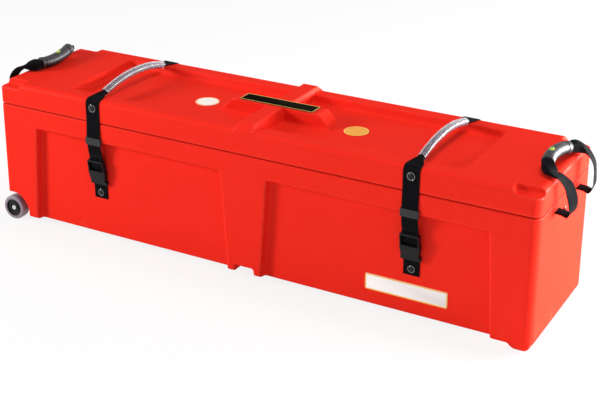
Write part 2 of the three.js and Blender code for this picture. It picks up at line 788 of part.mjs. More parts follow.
// From across, along and off the slanted strap to the case's own axes
function slanted(x) {
  return new THREE.Matrix4().makeBasis(new THREE.Vector3(1, 0, 0), slantUp, slantOut)
    .setPosition(x, tabY, tabBendHeight);
}
function onSlant(along, off, x, wide, thick) {
  return [
    tabY + slantUp.y * along + slantOut.y * off,
    tabBendHeight + slantUp.z * along + slantOut.z * off,
    x, wide, thick,
  ];
}
const windowTop = receiverRise + receiverLength - receiverBar;
const windowFoot = windowTop - windowLength;
const barTop = windowTop - middleBarDrop;
const barFoot = barTop - middleBar;
const barFront = webHalf;
const barBack = -webThickness;
const overBar = barFront + fit + webHalf;
for (const side of [1, -1]) {
  const end = side > 0 ? 'right' : 'left';
  const x = side * strapX;
  const hanging = strip([
    [-webOut, latchPivotZ - bendGap, x, halfStrap, bendTip],
    [-webOut, latchPivotZ - bendTaper, x, halfStrap, webHalf],
    [keeperY, keeperZ + keeperHeight / 2 + keeperLead, x, halfStrap, webHalf],
    [keeperY, slantTop, x, halfStrap, webHalf],
    onSlant(windowTop, 0, x, halfStrap, webHalf),
    onSlant(barTop + webThickness + fit, overBar, x, halfStrap, webHalf),
    onSlant(barFoot - webThickness - fit, overBar, x, halfStrap, webHalf),
    onSlant(windowFoot + 2 * webThickness, 0, x, halfStrap, webHalf),
    onSlant(windowFoot + webHalf, 0, x, halfStrap, webHalf),
  ], acrossX);
  piece(`latch_strap_${end}`, hanging, webBlack, 0.8, 0);

  const keeperDeep = keeperBack + fit + webThickness + fit + keeperFront;
  const keeperMiddle = -(halfWidth + fit + keeperDeep / 2);
  const keeper = cut(
    solid(block(keeperWidth, keeperDeep, keeperHeight, x, keeperMiddle, keeperZ)),
    solid(block(
      strapWidth + 2 * fit, webThickness + 2 * fit, keeperHeight + overrun, x, keeperY, keeperZ,
    )),
  );
  piece(`strap_keeper_${end}`, keeper, plasticGrey, 0.5, 0);

  const top = receiverRise + receiverLength;
  const waist = receiverRise + receiverLength / 2;
  const widths = [
    [receiverBottomWidth, receiverRise], [receiverMiddleWidth, waist - receiverBar],
    [receiverMiddleWidth, waist], [receiverTopWidth, waist + receiverBar],
    [receiverTopWidth, top - receiverBar / 2], [receiverTopWidth - receiverBar, top],
  ];
  const outline = polygon([
    ...widths.map(([width, y]) => [width / 2, y]),
    ...widths.map(([width, y]) => [-width / 2, y]).reverse(),
  ]);
  const deep = receiverFront + receiverBack;
  const slotWide = strapWidth + 4 * fit;
  const pocketWide = receiverBottomWidth - 2 * receiverRail;
  const pocketDeep = deep - receiverWall + overrun;
  const pocketMiddle = receiverFront - receiverWall - pocketDeep / 2;
  const passDeep = receiverBack + webHalf + fit + overrun;
  const receiver = join(
    cut(
      solid(prism(outline, deep).translate(0, 0, -receiverBack)),
      solid(block(
        pocketWide, windowFoot - receiverRise + 2 * overrun, pocketDeep,
        0, (windowFoot + receiverRise) / 2, pocketMiddle,
      )),
      solid(block(slotWide, windowLength, deep + 2 * overrun, 0, windowTop - windowLength / 2, 0)),
      solid(block(
        slotWide, receiverBar + 2 * overrun, passDeep,
        0, top, webHalf + fit - passDeep / 2,
      )),
    ),
    solid(block(
      slotWide + receiverRail, middleBar, barFront - barBack,
      0, (barTop + barFoot) / 2, (barFront + barBack) / 2,
    )),
  );
  const seat = new THREE.Group();
  seat.applyMatrix4(slanted(x));
  group.add(seat);
  piece(`buckle_receiver_${end}`, receiver, plasticGrey, 0.45, 0, seat);

  const baseFoot = receiverRise - bendGap - tongueBase;
  const tongueTop = receiverRise + tongueReach;
  const tongueDeep = tongueFront + tongueBack;
  const prongDeep = prongFront + prongBack;
  const prongSide = (prongWidth - prongGap) / 2;
  const sockets = solid(block(
    strapWidth + 2 * fit, tongueSocket + fit + overrun, webThickness + 2 * fit,
    0, baseFoot + (tongueSocket + fit - overrun) / 2, 0,
  ));
  const prongs = [1, -1].map((hand) => solid(block(
    prongSide, tongueReach + overrun / 2, prongDeep,
    hand * (prongWidth - prongSide) / 2, tongueTop - (tongueReach + overrun / 2) / 2,
    (prongFront - prongBack) / 2,
  )));
  const tongue = cut(
    join(
      solid(block(
        tongueWidth, tongueBase, tongueDeep, 0, baseFoot + tongueBase / 2, (tongueFront - tongueBack) / 2,
      )),
      ...prongs,
    ),
    sockets,
  );
  piece(`buckle_tongue_${end}`, tongue, plasticGrey, 0.45, 0, seat);

  const tab = strip([
    onSlant(bendGap, 0, x, halfStrap, bendTip),
    onSlant(bendTaper, 0, x, halfStrap, webHalf),
    onSlant(baseFoot + tongueSocket, 0, x, halfStrap, webHalf),
  ], acrossX);
  piece(`latch_tab_${end}`, tab, webBlack, 0.8, 0);
  const anchor = cut(
    solid(strip([
      [tabY, tabBendHeight - tabTail, x, halfStrap, webHalf],
      [tabY, tabBendHeight - bendTaper, x, halfStrap, webHalf],
      [tabY, tabBendHeight - bendGap, x, halfStrap, bendTip],
    ], acrossX)),
    holeY(shankHole, x, tabY - overrun, tabY + overrun, tabRivetZ),
  );
  piece(`tab_anchor_${end}`, anchor, webBlack, 0.8, 0);
  const tabRivet = rivet(tabRivetRadius, gripped).rotateX(Math.PI)
    .translate(x, tabY - webHalf - fit, tabRivetZ);
  piece(`rivet_tab_${end}`, tabRivet, nickel, 0.35, 1);
}

// A strip with its own middle, direction across, half width and half thickness at each station
function ribbon(stations) {
  const rings = stations.map(({ at, across, wide, thick, tangent }, i) => {
    const before = stations[Math.max(i - 1, 0)].at;
    const after = stations[Math.min(i + 1, stations.length - 1)].at;
    const along = tangent || after.clone().sub(before).normalize();
    const level = across.clone().addScaledVector(along, -across.dot(along)).normalize();
    const off = along.clone().cross(level);
    const chamfer = stripCornerShare * Math.min(wide, thick);
    const slim = thick - chamfer;
    const narrow = wide - chamfer;
    return [
      [wide, -slim], [wide, slim], [narrow, thick], [-narrow, thick],
      [-wide, slim], [-wide, -slim], [-narrow, -thick], [narrow, -thick],
    ].map(([a, b]) => at.clone().addScaledVector(level, a).addScaledVector(off, b));
  });
  return loft(rings);
}

// End handles. The legs bend at the foot of the loop, just outside the end wall.
const bendX = halfLength + legBendOut;
const bendZ = seamHeight - legBendDrop;
const legHalf = legThickness / 2;
const coreShares = [0.1, 0.2, 0.3, 0.4, 0.5, 0.6, 0.7, 0.8, 0.9];
const boreEndShare = 0.03;
for (const side of [1, -1]) {
  const end = side > 0 ? 'right' : 'left';
  const places = handlePlaces[end];
  const [front, middle, back] = places.grip.map(([inboard, along, rise]) => (
    new THREE.Vector3(side * (halfLength - inboard), handleShift + along, lidTop + rise)
  ));
  const pull = middle.clone().multiplyScalar(2).sub(front.clone().add(back).divideScalar(2));
  const bow = new THREE.QuadraticBezierCurve3(front, pull, back);
  const bore = new THREE.CatmullRomCurve3([
    bow.getPoint(0).addScaledVector(bow.getTangent(0), -boreEndShare * anchorLength),
    bow.getPoint(0), ...coreShares.map((share) => bow.getPoint(share)), bow.getPoint(1),
    bow.getPoint(1).addScaledVector(bow.getTangent(1), boreEndShare * anchorLength),
  ]);
  const grip = cut(solid(tube(bow, gripRadius, gripSteps)), solid(tube(bore, gripBore, 2 * gripSteps)));
  piece(`handle_grip_${end}`, grip, 0x34333a, 0.6, 0);

  // From the bend up one leg to its cuff
  const leg = (face) => {
    const slotY = handleShift + face * slotSpread / 2;
    const bend = new THREE.Vector3(side * bendX, slotY, bendZ);
    const points = places[face < 0 ? 'front' : 'back'].map(([out, along, up]) => (
      new THREE.Vector3(side * (halfLength + out), slotY + along, bendZ + up)
    ));
    const tip = bow.getPoint(face < 0 ? 0 : 1);
    const tangent = bow.getTangent(face < 0 ? 0 : 1);
    const toward = points[0].clone().sub(bend).setY(0).normalize();
    const rising = (distance, thick) => ({
      at: bend.clone().addScaledVector(toward, distance),
      across: new THREE.Vector3(0, -face, 0), wide: legWidth / 2, thick,
      tangent: toward.clone().multiplyScalar(-face),
    });
    const stations = points.map((at, i) => {
      const run = (points[i + 1] || tip).clone().sub(points[Math.max(i - 1, 0)]).multiplyScalar(-face);
      const gather = legGatherShares[i];
      const twist = legTwist * legTwistShares[i];
      const flat = new THREE.Vector3(side * Math.sin(twist), -face * Math.cos(twist), 0);
      const round = new THREE.Vector3(side * run.y, -side * run.x, 0).normalize();
      return {
        at,
        across: flat.multiplyScalar(1 - gather).addScaledVector(round, gather).normalize(),
        wide: legWidth / 2 + (cuffRadius - legWidth / 2) * gather,
        thick: legHalf + (cuffRadius - legHalf) * gather,
      };
    });
    const level = new THREE.Vector3(side, 0, 0);
    return [
      rising(bendGap, bendTip), rising(bendTaper + fit, legHalf), ...stations,
      {
        at: tip.clone().addScaledVector(tangent, face * fit),
        across: level, wide: cuffRadius, thick: cuffRadius, tangent,
      },
      { at: tip, across: level, wide: gripCore, thick: gripCore, tangent },
    ];
  };
  const core = coreShares.map((share) => ({
    at: bow.getPoint(share), across: new THREE.Vector3(side, 0, 0), wide: gripCore, thick: gripCore,
  }));
  piece(`handle_strap_${end}`, ribbon([...leg(-1), ...core, ...leg(1).reverse()]), webBlack, 0.8, 0);

  for (const face of [-1, 1]) {
    // Webbing from inside the case, out through the slot and down to the bend
    const slotY = handleShift + face * slotSpread / 2;
    const inX = halfLength - wall - fit - legHalf;
    const stub = strip([
      [side * inX, slotZ - tailLength, slotY, legWidth / 2, legHalf],
      [side * inX, slotZ, slotY, legWidth / 2, legHalf],
      [side * (halfLength + wall), slotZ, slotY, legWidth / 2, legHalf],
      [side * (bendX - bendTaper * 2), bendZ + 2 * legHalf, slotY, legWidth / 2, legHalf],
      [side * (bendX - bendGap), bendZ, slotY, legWidth / 2, bendTip],
    ], acrossY);
    piece(`handle_stub_${face < 0 ? 'front' : 'back'}_${end}`, stub, webBlack, 0.8, 0);

    const rivetY = handleShift + face * anchorRivetSpread / 2;
    const held = fit + wall + fit + legThickness + fit + anchorThickness + fit;
    const anchorRivet = rivet(anchorRivetRadius, held)
      .rotateZ(-side * Math.PI / 2).translate(side * (halfLength + fit), rivetY, anchorZ);
    piece(`rivet_handle_${face < 0 ? 'front' : 'back'}_${end}`, anchorRivet, nickel, 0.35, 1);
  }

  const plateX = halfLength - wall - fit - legThickness - fit - anchorThickness / 2;
  const anchorPlate = cut(
    solid(block(anchorThickness, anchorLength, anchorHeight, side * plateX, handleShift, anchorZ)),
    ...[1, -1].map((face) => holeX(
      shankHole, side * (plateX - overrun), side * (plateX + overrun),
      handleShift + face * anchorRivetSpread / 2, anchorZ,
    )),
  );
  piece(`handle_plate_${end}`, anchorPlate, nickel, 0.4, 1);
}

// Bare plate, badges and label
piece('name_plate', block(
  plateLength, plateWidth, plateThickness, 0, 0, crossTop + fit + plateThickness / 2,
), 0x1c1a14, 0.4, 0);
const badgeX = longArmTop / 2 + recessDepth + crossHeight + badgeGap + badgeRadius;
for (const side of [1, -1]) {
  const badge = new THREE.CylinderGeometry(badgeRadius, badgeRadius, badgeThickness, wheelSides)
    .rotateX(Math.PI / 2).translate(side * badgeX, 0, recessFloor + fit + badgeThickness / 2);
  piece(`badge_${side > 0 ? 'right' : 'left'}`, badge, side > 0 ? 0xf0a83c : 0xf6efe2, 0.4, 0);
}
piece('front_label', block(
  labelLength, labelThickness, labelHeight,
  halfLength - labelInset, -(panelFloor + fit + labelThickness / 2), tabBendHeight - tabTail - labelDrop,
), 0xfbfaf6, 0.4, 0);

// The origin lies midway between the keepers' fronts and the back rivets' heads.
const frontReach = halfWidth + fit + keeperBack + fit + webThickness + fit + keeperFront;
const backReach = webOut + webHalf + fit + headHeight;
group.position.y = (frontReach - backReach) / 2;

export default group;
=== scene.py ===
import math
import bmesh
import bpy
import numpy as np
from mathutils import Matrix, Vector


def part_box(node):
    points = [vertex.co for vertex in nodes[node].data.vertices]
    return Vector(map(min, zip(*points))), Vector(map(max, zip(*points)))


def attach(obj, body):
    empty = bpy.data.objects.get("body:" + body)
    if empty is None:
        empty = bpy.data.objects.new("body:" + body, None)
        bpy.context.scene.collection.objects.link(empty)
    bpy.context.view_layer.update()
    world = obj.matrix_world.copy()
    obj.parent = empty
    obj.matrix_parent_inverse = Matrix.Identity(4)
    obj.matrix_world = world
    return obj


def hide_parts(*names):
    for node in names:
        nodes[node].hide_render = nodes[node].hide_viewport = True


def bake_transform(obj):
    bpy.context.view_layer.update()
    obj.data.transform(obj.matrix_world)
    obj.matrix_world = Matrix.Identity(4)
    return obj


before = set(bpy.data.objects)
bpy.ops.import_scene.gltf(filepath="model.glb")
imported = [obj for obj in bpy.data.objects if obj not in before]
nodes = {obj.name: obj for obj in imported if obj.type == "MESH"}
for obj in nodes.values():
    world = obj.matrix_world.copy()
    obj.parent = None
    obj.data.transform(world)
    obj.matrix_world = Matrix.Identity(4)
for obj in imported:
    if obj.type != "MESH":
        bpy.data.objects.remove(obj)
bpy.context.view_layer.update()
ends = {"left": -1, "right": 1}
faces = {"front": -1, "back": 1}
rowShift = 0.00055          # the CAD's middle lies this far forward of the row's origin
east, north, upward = Vector((1, 0, 0)), Vector((0, 1, 0)), Vector((0, 0, 1))
print("frame loaded with", len(nodes), "nodes")


def link(thing):
    bpy.context.scene.collection.objects.link(thing)
    return thing


# The camera was solved from the corners of the case
view = {
    "azimuth": 28.7386, "pitch": 20.2272, "roll": 0.3656, "place": (1.32222, -2.3203, 1.32375),
    "lens": 79.124, "sensor": 36, "shiftY": -0.15, "farthest": 50,
}


def makeCamera():
    turn, fall, roll = (math.radians(view[k]) for k in ("azimuth", "pitch", "roll"))
    back = Vector((math.sin(turn) * math.cos(fall), -math.cos(turn) * math.cos(fall), math.sin(fall)))
    right = Vector((math.cos(turn), math.sin(turn), 0))
    up = back.cross(right)
    acrossAxis = right * math.cos(roll) + up * math.sin(roll)
    upAxis = up * math.cos(roll) - right * math.sin(roll)
    camera = link(bpy.data.objects.new("camera", bpy.data.cameras.new("camera")))
    turned = Matrix((acrossAxis, upAxis, back)).transposed().to_4x4()
    camera.matrix_world = Matrix.Translation(view["place"]) @ turned
    camera.data.lens = view["lens"]
    camera.data.sensor_width = view["sensor"]
    camera.data.shift_y = view["shiftY"]
    camera.data.clip_end = view["farthest"]
    bpy.context.scene.camera = camera


makeCamera()
bpy.context.scene.view_settings.view_transform = "Standard"

studio = {
    "skyStrength": 0.4,
    "lamps": {      # place, aim, width, height, watts
        "key": ((-2.7, -2.1, 1.5), (-0.3, 0, 0.15), 0.9, 0.9, 92),
        "fill": ((1.4, -3.2, 1.0), (0.2, 0, 0.1), 1.6, 1.6, 3),
        "end": ((2.7, 1.4, 0.24), (0.55, 0, 0.22), 2.6, 0.5, 500),
        "top": ((0.8, 0.3, 2.6), (0.35, 0, 0.3), 0.7, 0.7, 27),
        "back": ((1.7, 2.7, 0.3), (0.0, 0, 0.33), 1.4, 0.16, 60),
    },
    "floorSize": 14, "floorPaper": 0.85, "shadowShare": 0.16,
}


def wire(tree, source, target):
    tree.links.new(source, target)


def feed(tree, socket, value):
    if isinstance(value, bpy.types.NodeSocket):
        wire(tree, value, socket)
    else:
        socket.default_value = value


# A node with its inputs and settings given by name
def tuned(tree, kind, **values):
    node = tree.nodes.new(kind)
    for name, value in values.items():
        if name in node.inputs:
            feed(tree, node.inputs[name], value)
        else:
            setattr(node, name, value)
    return node


# The result of a sum on numbers and on other nodes' outputs
def summed(tree, operation, *values):
    node = tuned(tree, "ShaderNodeMath", operation=operation)
    for socket, value in zip(node.inputs, values):
        feed(tree, socket, value)
    return node.outputs[0]


# 1 for rays from the camera and for those that mirror or pass on what it sees
def shownRays(tree):
    rays = tree.nodes.new("ShaderNodeLightPath")
    total = rays.outputs["Is Camera Ray"]
    for kind in ("Is Glossy Ray", "Is Transmission Ray"):
        total = summed(tree, "MAXIMUM", total, rays.outputs[kind])
    return total


# The first shader gives way to the second by the share
def mixShaders(tree, share, first, second, outputKind):
    mix = tree.nodes.new("ShaderNodeMixShader")
    output = tree.nodes.new(outputKind)
    wire(tree, share, mix.inputs[0])
    wire(tree, first.outputs[0], mix.inputs[1])
    wire(tree, second.outputs[0], mix.inputs[2])
    wire(tree, mix.outputs[0], output.inputs[0])


def makeWorld():
    world = bpy.data.worlds.new("studio")
    bpy.context.scene.world = world
    world.use_nodes = True
    tree = world.node_tree
    tree.nodes.clear()
    sky = tuned(tree, "ShaderNodeBackground", Color=(1, 1, 1, 1), Strength=studio["skyStrength"])
    paper = tuned(tree, "ShaderNodeBackground", Color=(1, 1, 1, 1))
    mixShaders(tree, shownRays(tree), sky, paper, "ShaderNodeOutputWorld")


def makeLamps():
    for name, (place, aim, width, height, watts) in studio["lamps"].items():
        lamp = bpy.data.lights.new(name, "AREA")
        lamp.shape = "RECTANGLE"
        lamp.size, lamp.size_y, lamp.energy = width, height, watts
        holder = link(bpy.data.objects.new(name, lamp))
        holder.location = place
        holder.rotation_euler = (Vector(place) - Vector(aim)).to_track_quat("Z", "Y").to_euler()
        holder.visible_camera = False


def makeFloor():
    half = studio["floorSize"] / 2
    mesh = bpy.data.meshes.new("floor")
    corners = [(-half, -half, 0), (half, -half, 0), (half, half, 0), (-half, half, 0)]
    mesh.from_pydata(corners, [], [(0, 1, 2, 3)])
    floor = link(bpy.data.objects.new("floor", mesh))
    paper = bpy.data.materials.new("paper")
    paper.use_nodes = True
    tree = paper.node_tree
    tree.nodes.clear()
    matt = tuned(tree, "ShaderNodeBsdfDiffuse", Color=(studio["floorPaper"],) * 3 + (1,))
    glow = tree.nodes.new("ShaderNodeEmission")
    share = summed(tree, "MULTIPLY", shownRays(tree), 1 - studio["shadowShare"])
    mixShaders(tree, share, matt, glow, "ShaderNodeOutputMaterial")
    mesh.materials.append(paper)


makeWorld()
makeLamps()
makeFloor()
print("camera, lamps and floor placed")

# Colour, roughness, metallic, specular level, coat, grain per metre, grain height, colour change
finishes = {
    "redShell": ((0.80, 0.024, 0.013), 0.46, 0.0, 0.0, 0.05, 420, 0.00016, 0.04),
    "greyBuckle": ((0.009, 0.0085, 0.0095), 0.4, 0.0, 0.15, 0.0, 900, 0.0001, 0.2),
    "greyKeeper": ((0.030, 0.027, 0.030), 0.45, 0.0, 0.2, 0.0, 900, 0.0001, 0.2),
    "darkNickel": ((0.008, 0.008, 0.009), 0.14, 0.0, 0.2, 0.0, 500, 0.00003, 0.15),
    "paleNickel": ((0.36, 0.36, 0.37), 0.25, 1.0, 0.5, 0.0, 500, 0.00003, 0.1),
    "brightSteel": ((0.66, 0.67, 0.69), 0.22, 1.0, 0.5, 0.0, 700, 0.00002, 0.1),
    "greyTyre": ((0.24, 0.19, 0.23), 0.4, 0.0, 0.4, 0.1, 300, 0.00012, 0.15),
    "blackHub": ((0.010, 0.0105, 0.0105), 0.36, 0.0, 0.3, 0.0, 700, 0.00012, 0.2),
    "rubberGrip": ((0.013, 0.0115, 0.0145), 0.48, 0.0, 0.32, 0.0, 260, 0.0003, 0.4),
    "blackPlate": ((0.007, 0.006, 0.004), 0.35, 0.0, 0.0, 0.0, 500, 0.00004, 0.15),
    "goldLine": ((0.66, 0.43, 0.09), 0.4, 0.0, 0.2, 0.0, 400, 0.00003, 0.1),
    "whiteBadge": ((0.88, 0.83, 0.74), 0.4, 0.0, 0.2, 0.0, 300, 0.00003, 0.04),
    "orangeRim": ((0.90, 0.36, 0.10), 0.4, 0.0, 0.2, 0.0, 300, 0.00003, 0.06),
    "amberBadge": ((0.78, 0.34, 0.02), 0.4, 0.0, 0.2, 0.0, 300, 0.00003, 0.08),
    "amberRim": ((0.90, 0.50, 0.10), 0.4, 0.0, 0.2, 0.0, 300, 0.00003, 0.08),
    "whiteLabel": ((0.93, 0.92, 0.90), 0.4, 0.0, 0.2, 0.0, 300, 0.00003, 0.03),
    "limePatch": ((0.30, 0.42, 0.04), 0.5, 0.0, 0.4, 0.0, 500, 0.00004, 0.2),
}
# Painted shade: a darker band along the joint of lid and base, where shade falls in the gap
paintedSeamShade = {"height": 0.2898, "half": 0.0016, "fade": 0.0009, "colour": (0.45, 0.008, 0.005)}
# Painted highlight: paler red on the sharpest edges
paintedEdgeHighlight = {"colour": (1.0, 0.13, 0.085), "from": 0.515, "to": 0.60, "most": 0.5}
scuffs = {"colour": (0.86, 0.11, 0.075), "scale": 38.0, "from": 0.56, "to": 0.68,
          "most": 0.35, "higherUp": 0.12, "floorReach": 0.06}
surface = {"coatRoughness": 0.3, "cloudScale": 14.0, "smearScale": 60.0, "smear": 0.12, "relief": 0.5}
made = {}


def newFinish(name):
    finish = bpy.data.materials.new(name)
    finish.use_nodes = True
    made[name] = finish
    return finish.node_tree, finish.node_tree.nodes["Principled BSDF"]


def blendColours(tree, share, first, second):
    mix = tuned(tree, "ShaderNodeMix", data_type="RGBA")
    wire(tree, share, mix.inputs[0])
    for socket, colour in ((mix.inputs[6], first), (mix.inputs[7], second)):
        feed(tree, socket, colour + (1,) if isinstance(colour, tuple) else colour)
    return mix.outputs[2]


# A value carried from one range to another, held at its ends
def carried(tree, value, fromLow, fromHigh, toLow=0.0, toHigh=1.0):
    carry = tree.nodes.new("ShaderNodeMapRange")
    for socket, number in zip(carry.inputs[1:5], (fromLow, fromHigh, toLow, toHigh)):
        socket.default_value = number
    wire(tree, value, carry.inputs[0])
    return carry.outputs[0]


def noise(tree, place, **values):
    return tuned(tree, "ShaderNodeTexNoise", Vector=place, **values).outputs["Fac"]


def unevenRoughness(tree, shader, pattern, roughness, change):
    wire(tree, carried(tree, pattern, 0.0, 1.0, roughness * (1 - change), roughness * (1 + change)),
         shader.inputs["Roughness"])


def raised(tree, shader, pattern, strength, height):
    relief = tuned(tree, "ShaderNodeBump", Strength=strength, Distance=height, Height=pattern)
    wire(tree, relief.outputs[0], shader.inputs["Normal"])


def makeFinish(name):
    colour, roughness, metallic, specular, coat, grain, height, change = finishes[name]
    tree, shader = newFinish(name)
    shader.inputs["Metallic"].default_value = metallic
    shader.inputs["Specular IOR Level"].default_value = specular
    shader.inputs["Coat Weight"].default_value = coat
    shader.inputs["Coat Roughness"].default_value = surface["coatRoughness"]
    place = tree.nodes.new("ShaderNodeTexCoord").outputs["Object"]
    clouds = noise(tree, place, Scale=surface["cloudScale"], Detail=5.0, Roughness=0.6)
    tint = blendColours(tree, clouds, tuple(c * (1 - change) for c in colour),
                        tuple(min(1, c * (1 + change)) for c in colour))
    # The red shell also gets scuffs, a painted highlight on sharp edges and a painted shade band along the lid's joint
    if name == "redShell":
        tint = scuffsAndPaintedLight(tree, place, tint)
    wire(tree, tint, shader.inputs["Base Color"])
    smears = noise(tree, place, Scale=surface["smearScale"], Detail=3.0)
    unevenRoughness(tree, shader, smears, roughness, surface["smear"])
    skin = noise(tree, place, Scale=float(grain), Detail=2.0)
    raised(tree, shader, skin, surface["relief"], height)


# Painted shade along the joint of the lid, painted highlights on sharp edges, and scuffs that thicken towards the
# ground
def scuffsAndPaintedLight(tree, place, tint):
    height = tuned(tree, "ShaderNodeSeparateXYZ", Vector=place).outputs["Z"]
    marks = noise(tree, place, Scale=scuffs["scale"], Detail=9.0, Roughness=0.75, Distortion=0.6)
    low = carried(tree, height, 0.0, scuffs["floorReach"], scuffs["most"], scuffs["most"] * scuffs["higherUp"])
    rubbed = summed(tree, "MULTIPLY", carried(tree, marks, scuffs["from"], scuffs["to"]), low)
    tint = blendColours(tree, rubbed, tint, scuffs["colour"])
    # Painted highlight on sharp edges, from the mesh's pointiness
    sharpness = tree.nodes.new("ShaderNodeNewGeometry").outputs["Pointiness"]
    edges = carried(tree, sharpness, paintedEdgeHighlight["from"], paintedEdgeHighlight["to"], 0.0, paintedEdgeHighlight["most"])
    tint = blendColours(tree, edges, tint, paintedEdgeHighlight["colour"])
    # Painted shade in a narrow band round the joint's height
    fromSeam = summed(tree, "ABSOLUTE", summed(tree, "SUBTRACT", height, paintedSeamShade["height"]))
    half, fade = paintedSeamShade["half"], paintedSeamShade["fade"]
    seamShadeShare = carried(tree, fromSeam, half - fade, half + fade, 1.0, 0.0)
    return blendColours(tree, seamShadeShare, tint, paintedSeamShade["colour"])


for finishName in finishes:
    makeFinish(finishName)

# Colours of the dark and light threads, distance between ribs and between picks
weaves = {
    "blackWebbing": ((0.0035, 0.0035, 0.0042), (0.012, 0.012, 0.014), 0.0016, 0.0011, "X"),
    "rolledWebbing": ((0.007, 0.005, 0.010), (0.026, 0.020, 0.040), 0.0024, 0.0012, "DIAGONAL"),
}
weave = {"height": 0.00035, "relief": 0.6, "roughness": 0.8, "specular": 0.02}
onePerMetre = math.pi / 10      # the scale at which the wave pattern repeats once in a metre


# Ribs along the strap crossed by picks, on the strap's own UV in metres
def makeWebbing(name):
    colour, light, rib, pick, direction = weaves[name]
    tree, shader = newFinish(name)
    shader.inputs["Roughness"].default_value = weave["roughness"]
    shader.inputs["Specular IOR Level"].default_value = weave["specular"]
    cloth = tuned(tree, "ShaderNodeUVMap", uv_map="cloth")
    bands = []
    for heading, pitch in ((direction, rib), ("Y", pick)):
        threads = tuned(tree, "ShaderNodeTexWave", wave_type="BANDS", bands_direction=heading,
                        Scale=onePerMetre / pitch, Vector=cloth.outputs[0])
        bands.append(threads.outputs["Fac"])
    crossed = summed(tree, "MULTIPLY", *bands)
    wire(tree, blendColours(tree, crossed, colour, light), shader.inputs["Base Color"])
    raised(tree, shader, crossed, weave["relief"], weave["height"])


for weaveName in weaves:
    makeWebbing(weaveName)

clear = {"colour": (0.94, 0.91, 0.97), "roughness": 0.24, "ior": 1.24, "clearness": 0.94, "scuffScale": 90.0,
         "scuff": 0.1}


def makeClear():
    tree, shader = newFinish("clearVinyl")
    shader.inputs["Base Color"].default_value = clear["colour"] + (1,)
    shader.inputs["IOR"].default_value = clear["ior"]
    shader.inputs["Transmission Weight"].default_value = clear["clearness"]
    place = tree.nodes.new("ShaderNodeTexCoord").outputs["Object"]
    scuff = noise(tree, place, Scale=clear["scuffScale"], Detail=4.0)
    unevenRoughness(tree, shader, scuff, clear["roughness"], clear["scuff"])


makeClear()
print("finishes made:", len(made))


def finished(piece, body, finish=None, replaces=()):
    if finish:
        piece.data.materials.clear()
        piece.data.materials.append(made[finish])
    if body:
        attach(piece, body)
    if replaces:
        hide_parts(*replaces)
    return piece


# The piece's modifiers become part of its mesh
def settle(piece):
    bpy.context.view_layer.update()
    graph = bpy.context.evaluated_depsgraph_get()
    shown = piece.evaluated_get(graph)
    mesh = bpy.data.meshes.new_from_object(shown, preserve_all_data_layers=True, depsgraph=graph)
    piece.modifiers.clear()
    piece.data = mesh
    return piece


weld = {"made": 1e-7, "copied": 1e-5}       # points nearer than this become one


def tidyMesh(mesh, near, outward=False, flat=None):
    work = bmesh.new()
    work.from_mesh(mesh)
    bmesh.ops.remove_doubles(work, verts=work.verts, dist=near)
    bmesh.ops.dissolve_degenerate(work, edges=work.edges, dist=near)
    if flat:
        bmesh.ops.dissolve_limit(work, angle_limit=math.radians(flat), verts=work.verts, edges=work.edges)
    if outward:
        bmesh.ops.recalc_face_normals(work, faces=work.faces)
    work.to_mesh(mesh)
    work.free()


def meshPiece(name, points, polygons, uvs=None, sharp=None, outward=False):
    mesh = bpy.data.meshes.new(name)
    mesh.from_pydata([tuple(p) for p in points], [], polygons)
    if uvs is not None:
        layer = mesh.uv_layers.new(name="cloth")
        layer.data.foreach_set("uv", np.array(uvs, np.float32).ravel())
    if outward:
        tidyMesh(mesh, weld["made"], True)
    mesh.polygons.foreach_set("use_smooth", [True] * len(mesh.polygons))
    if sharp:
        mesh.set_sharp_from_angle(angle=math.radians(sharp))
    return link(bpy.data.objects.new(name, mesh))


# Quads between rings of equally many points. A loop closes on its first ring, a run gets a cap at each end.
def ringSkin(name, rings, loop=False, sharp=40):
    count = len(rings[0])
    points = [p for ring in rings for p in ring]
    polygons = []
    for i in range(len(rings) if loop else len(rings) - 1):
        j = (i + 1) % len(rings)
        for k in range(count):
            n = (k + 1) % count
            polygons.append((i * count + k, i * count + n, j * count + n, j * count + k))
    if not loop:
        polygons.append(tuple(range(count))[::-1])
        polygons.append(tuple((len(rings) - 1) * count + k for k in range(count)))
    return meshPiece(name, points, polygons, sharp=sharp, outward=True)


# A closed profile of (radius, height) turned about an axis through centre
def lathe(name, profile, centre, axis, sides):
    axis = Vector(axis).normalized()
    first = axis.orthogonal().normalized()
    second = axis.cross(first)
    rings = []
    for side in range(sides):
        angle = 2 * math.pi * side / sides
        spoke = first * math.cos(angle) + second * math.sin(angle)
        rings.append([Vector(centre) + spoke * r + axis * h for r, h in profile])
    return ringSkin(name, rings, loop=True, sharp=35)


# Place, direction across and direction up at each point of a line
def framesAlong(line):
    rows = []
    for i, place in enumerate(line):
        along = (line[min(i + 1, len(line) - 1)] - line[max(i - 1, 0)]).normalized()
        across = (east - along * east.dot(along)).normalized()
        rows.append((place, across, across.cross(along)))
    return rows


def roundSection(station, radii):
    place, across, up = station
    turn = 2 * math.pi / len(radii)
    return [place + (across * math.cos(turn * k) + up * math.sin(turn * k)) * r for k, r in enumerate(radii)]


softening = {"segments": 2, "fromAngle": 30, "flat": 0.5}


# A copy of a hard node with its edges rounded
def softened(node, width):
    piece = link(bpy.data.objects.new(node + "_soft", nodes[node].data.copy()))
    tidyMesh(piece.data, weld["copied"], flat=softening["flat"])
    edge = piece.modifiers.new("edges", "BEVEL")
    edge.width, edge.segments, edge.limit_method = width, softening["segments"], "ANGLE"
    edge.angle_limit = math.radians(softening["fromAngle"])
    edge.miter_outer = "MITER_ARC"
    piece.modifiers.new("shade", "WEIGHTED_NORMAL")
    piece.data.polygons.foreach_set("use_smooth", [True] * len(piece.data.polygons))
    return settle(piece)


shell = {"voxel": 0.0025, "quickVoxel": 0.006, "rounding": 1, "easing": 0.5, "kept": {"case_base": 0.2, "lid": 0.32}}


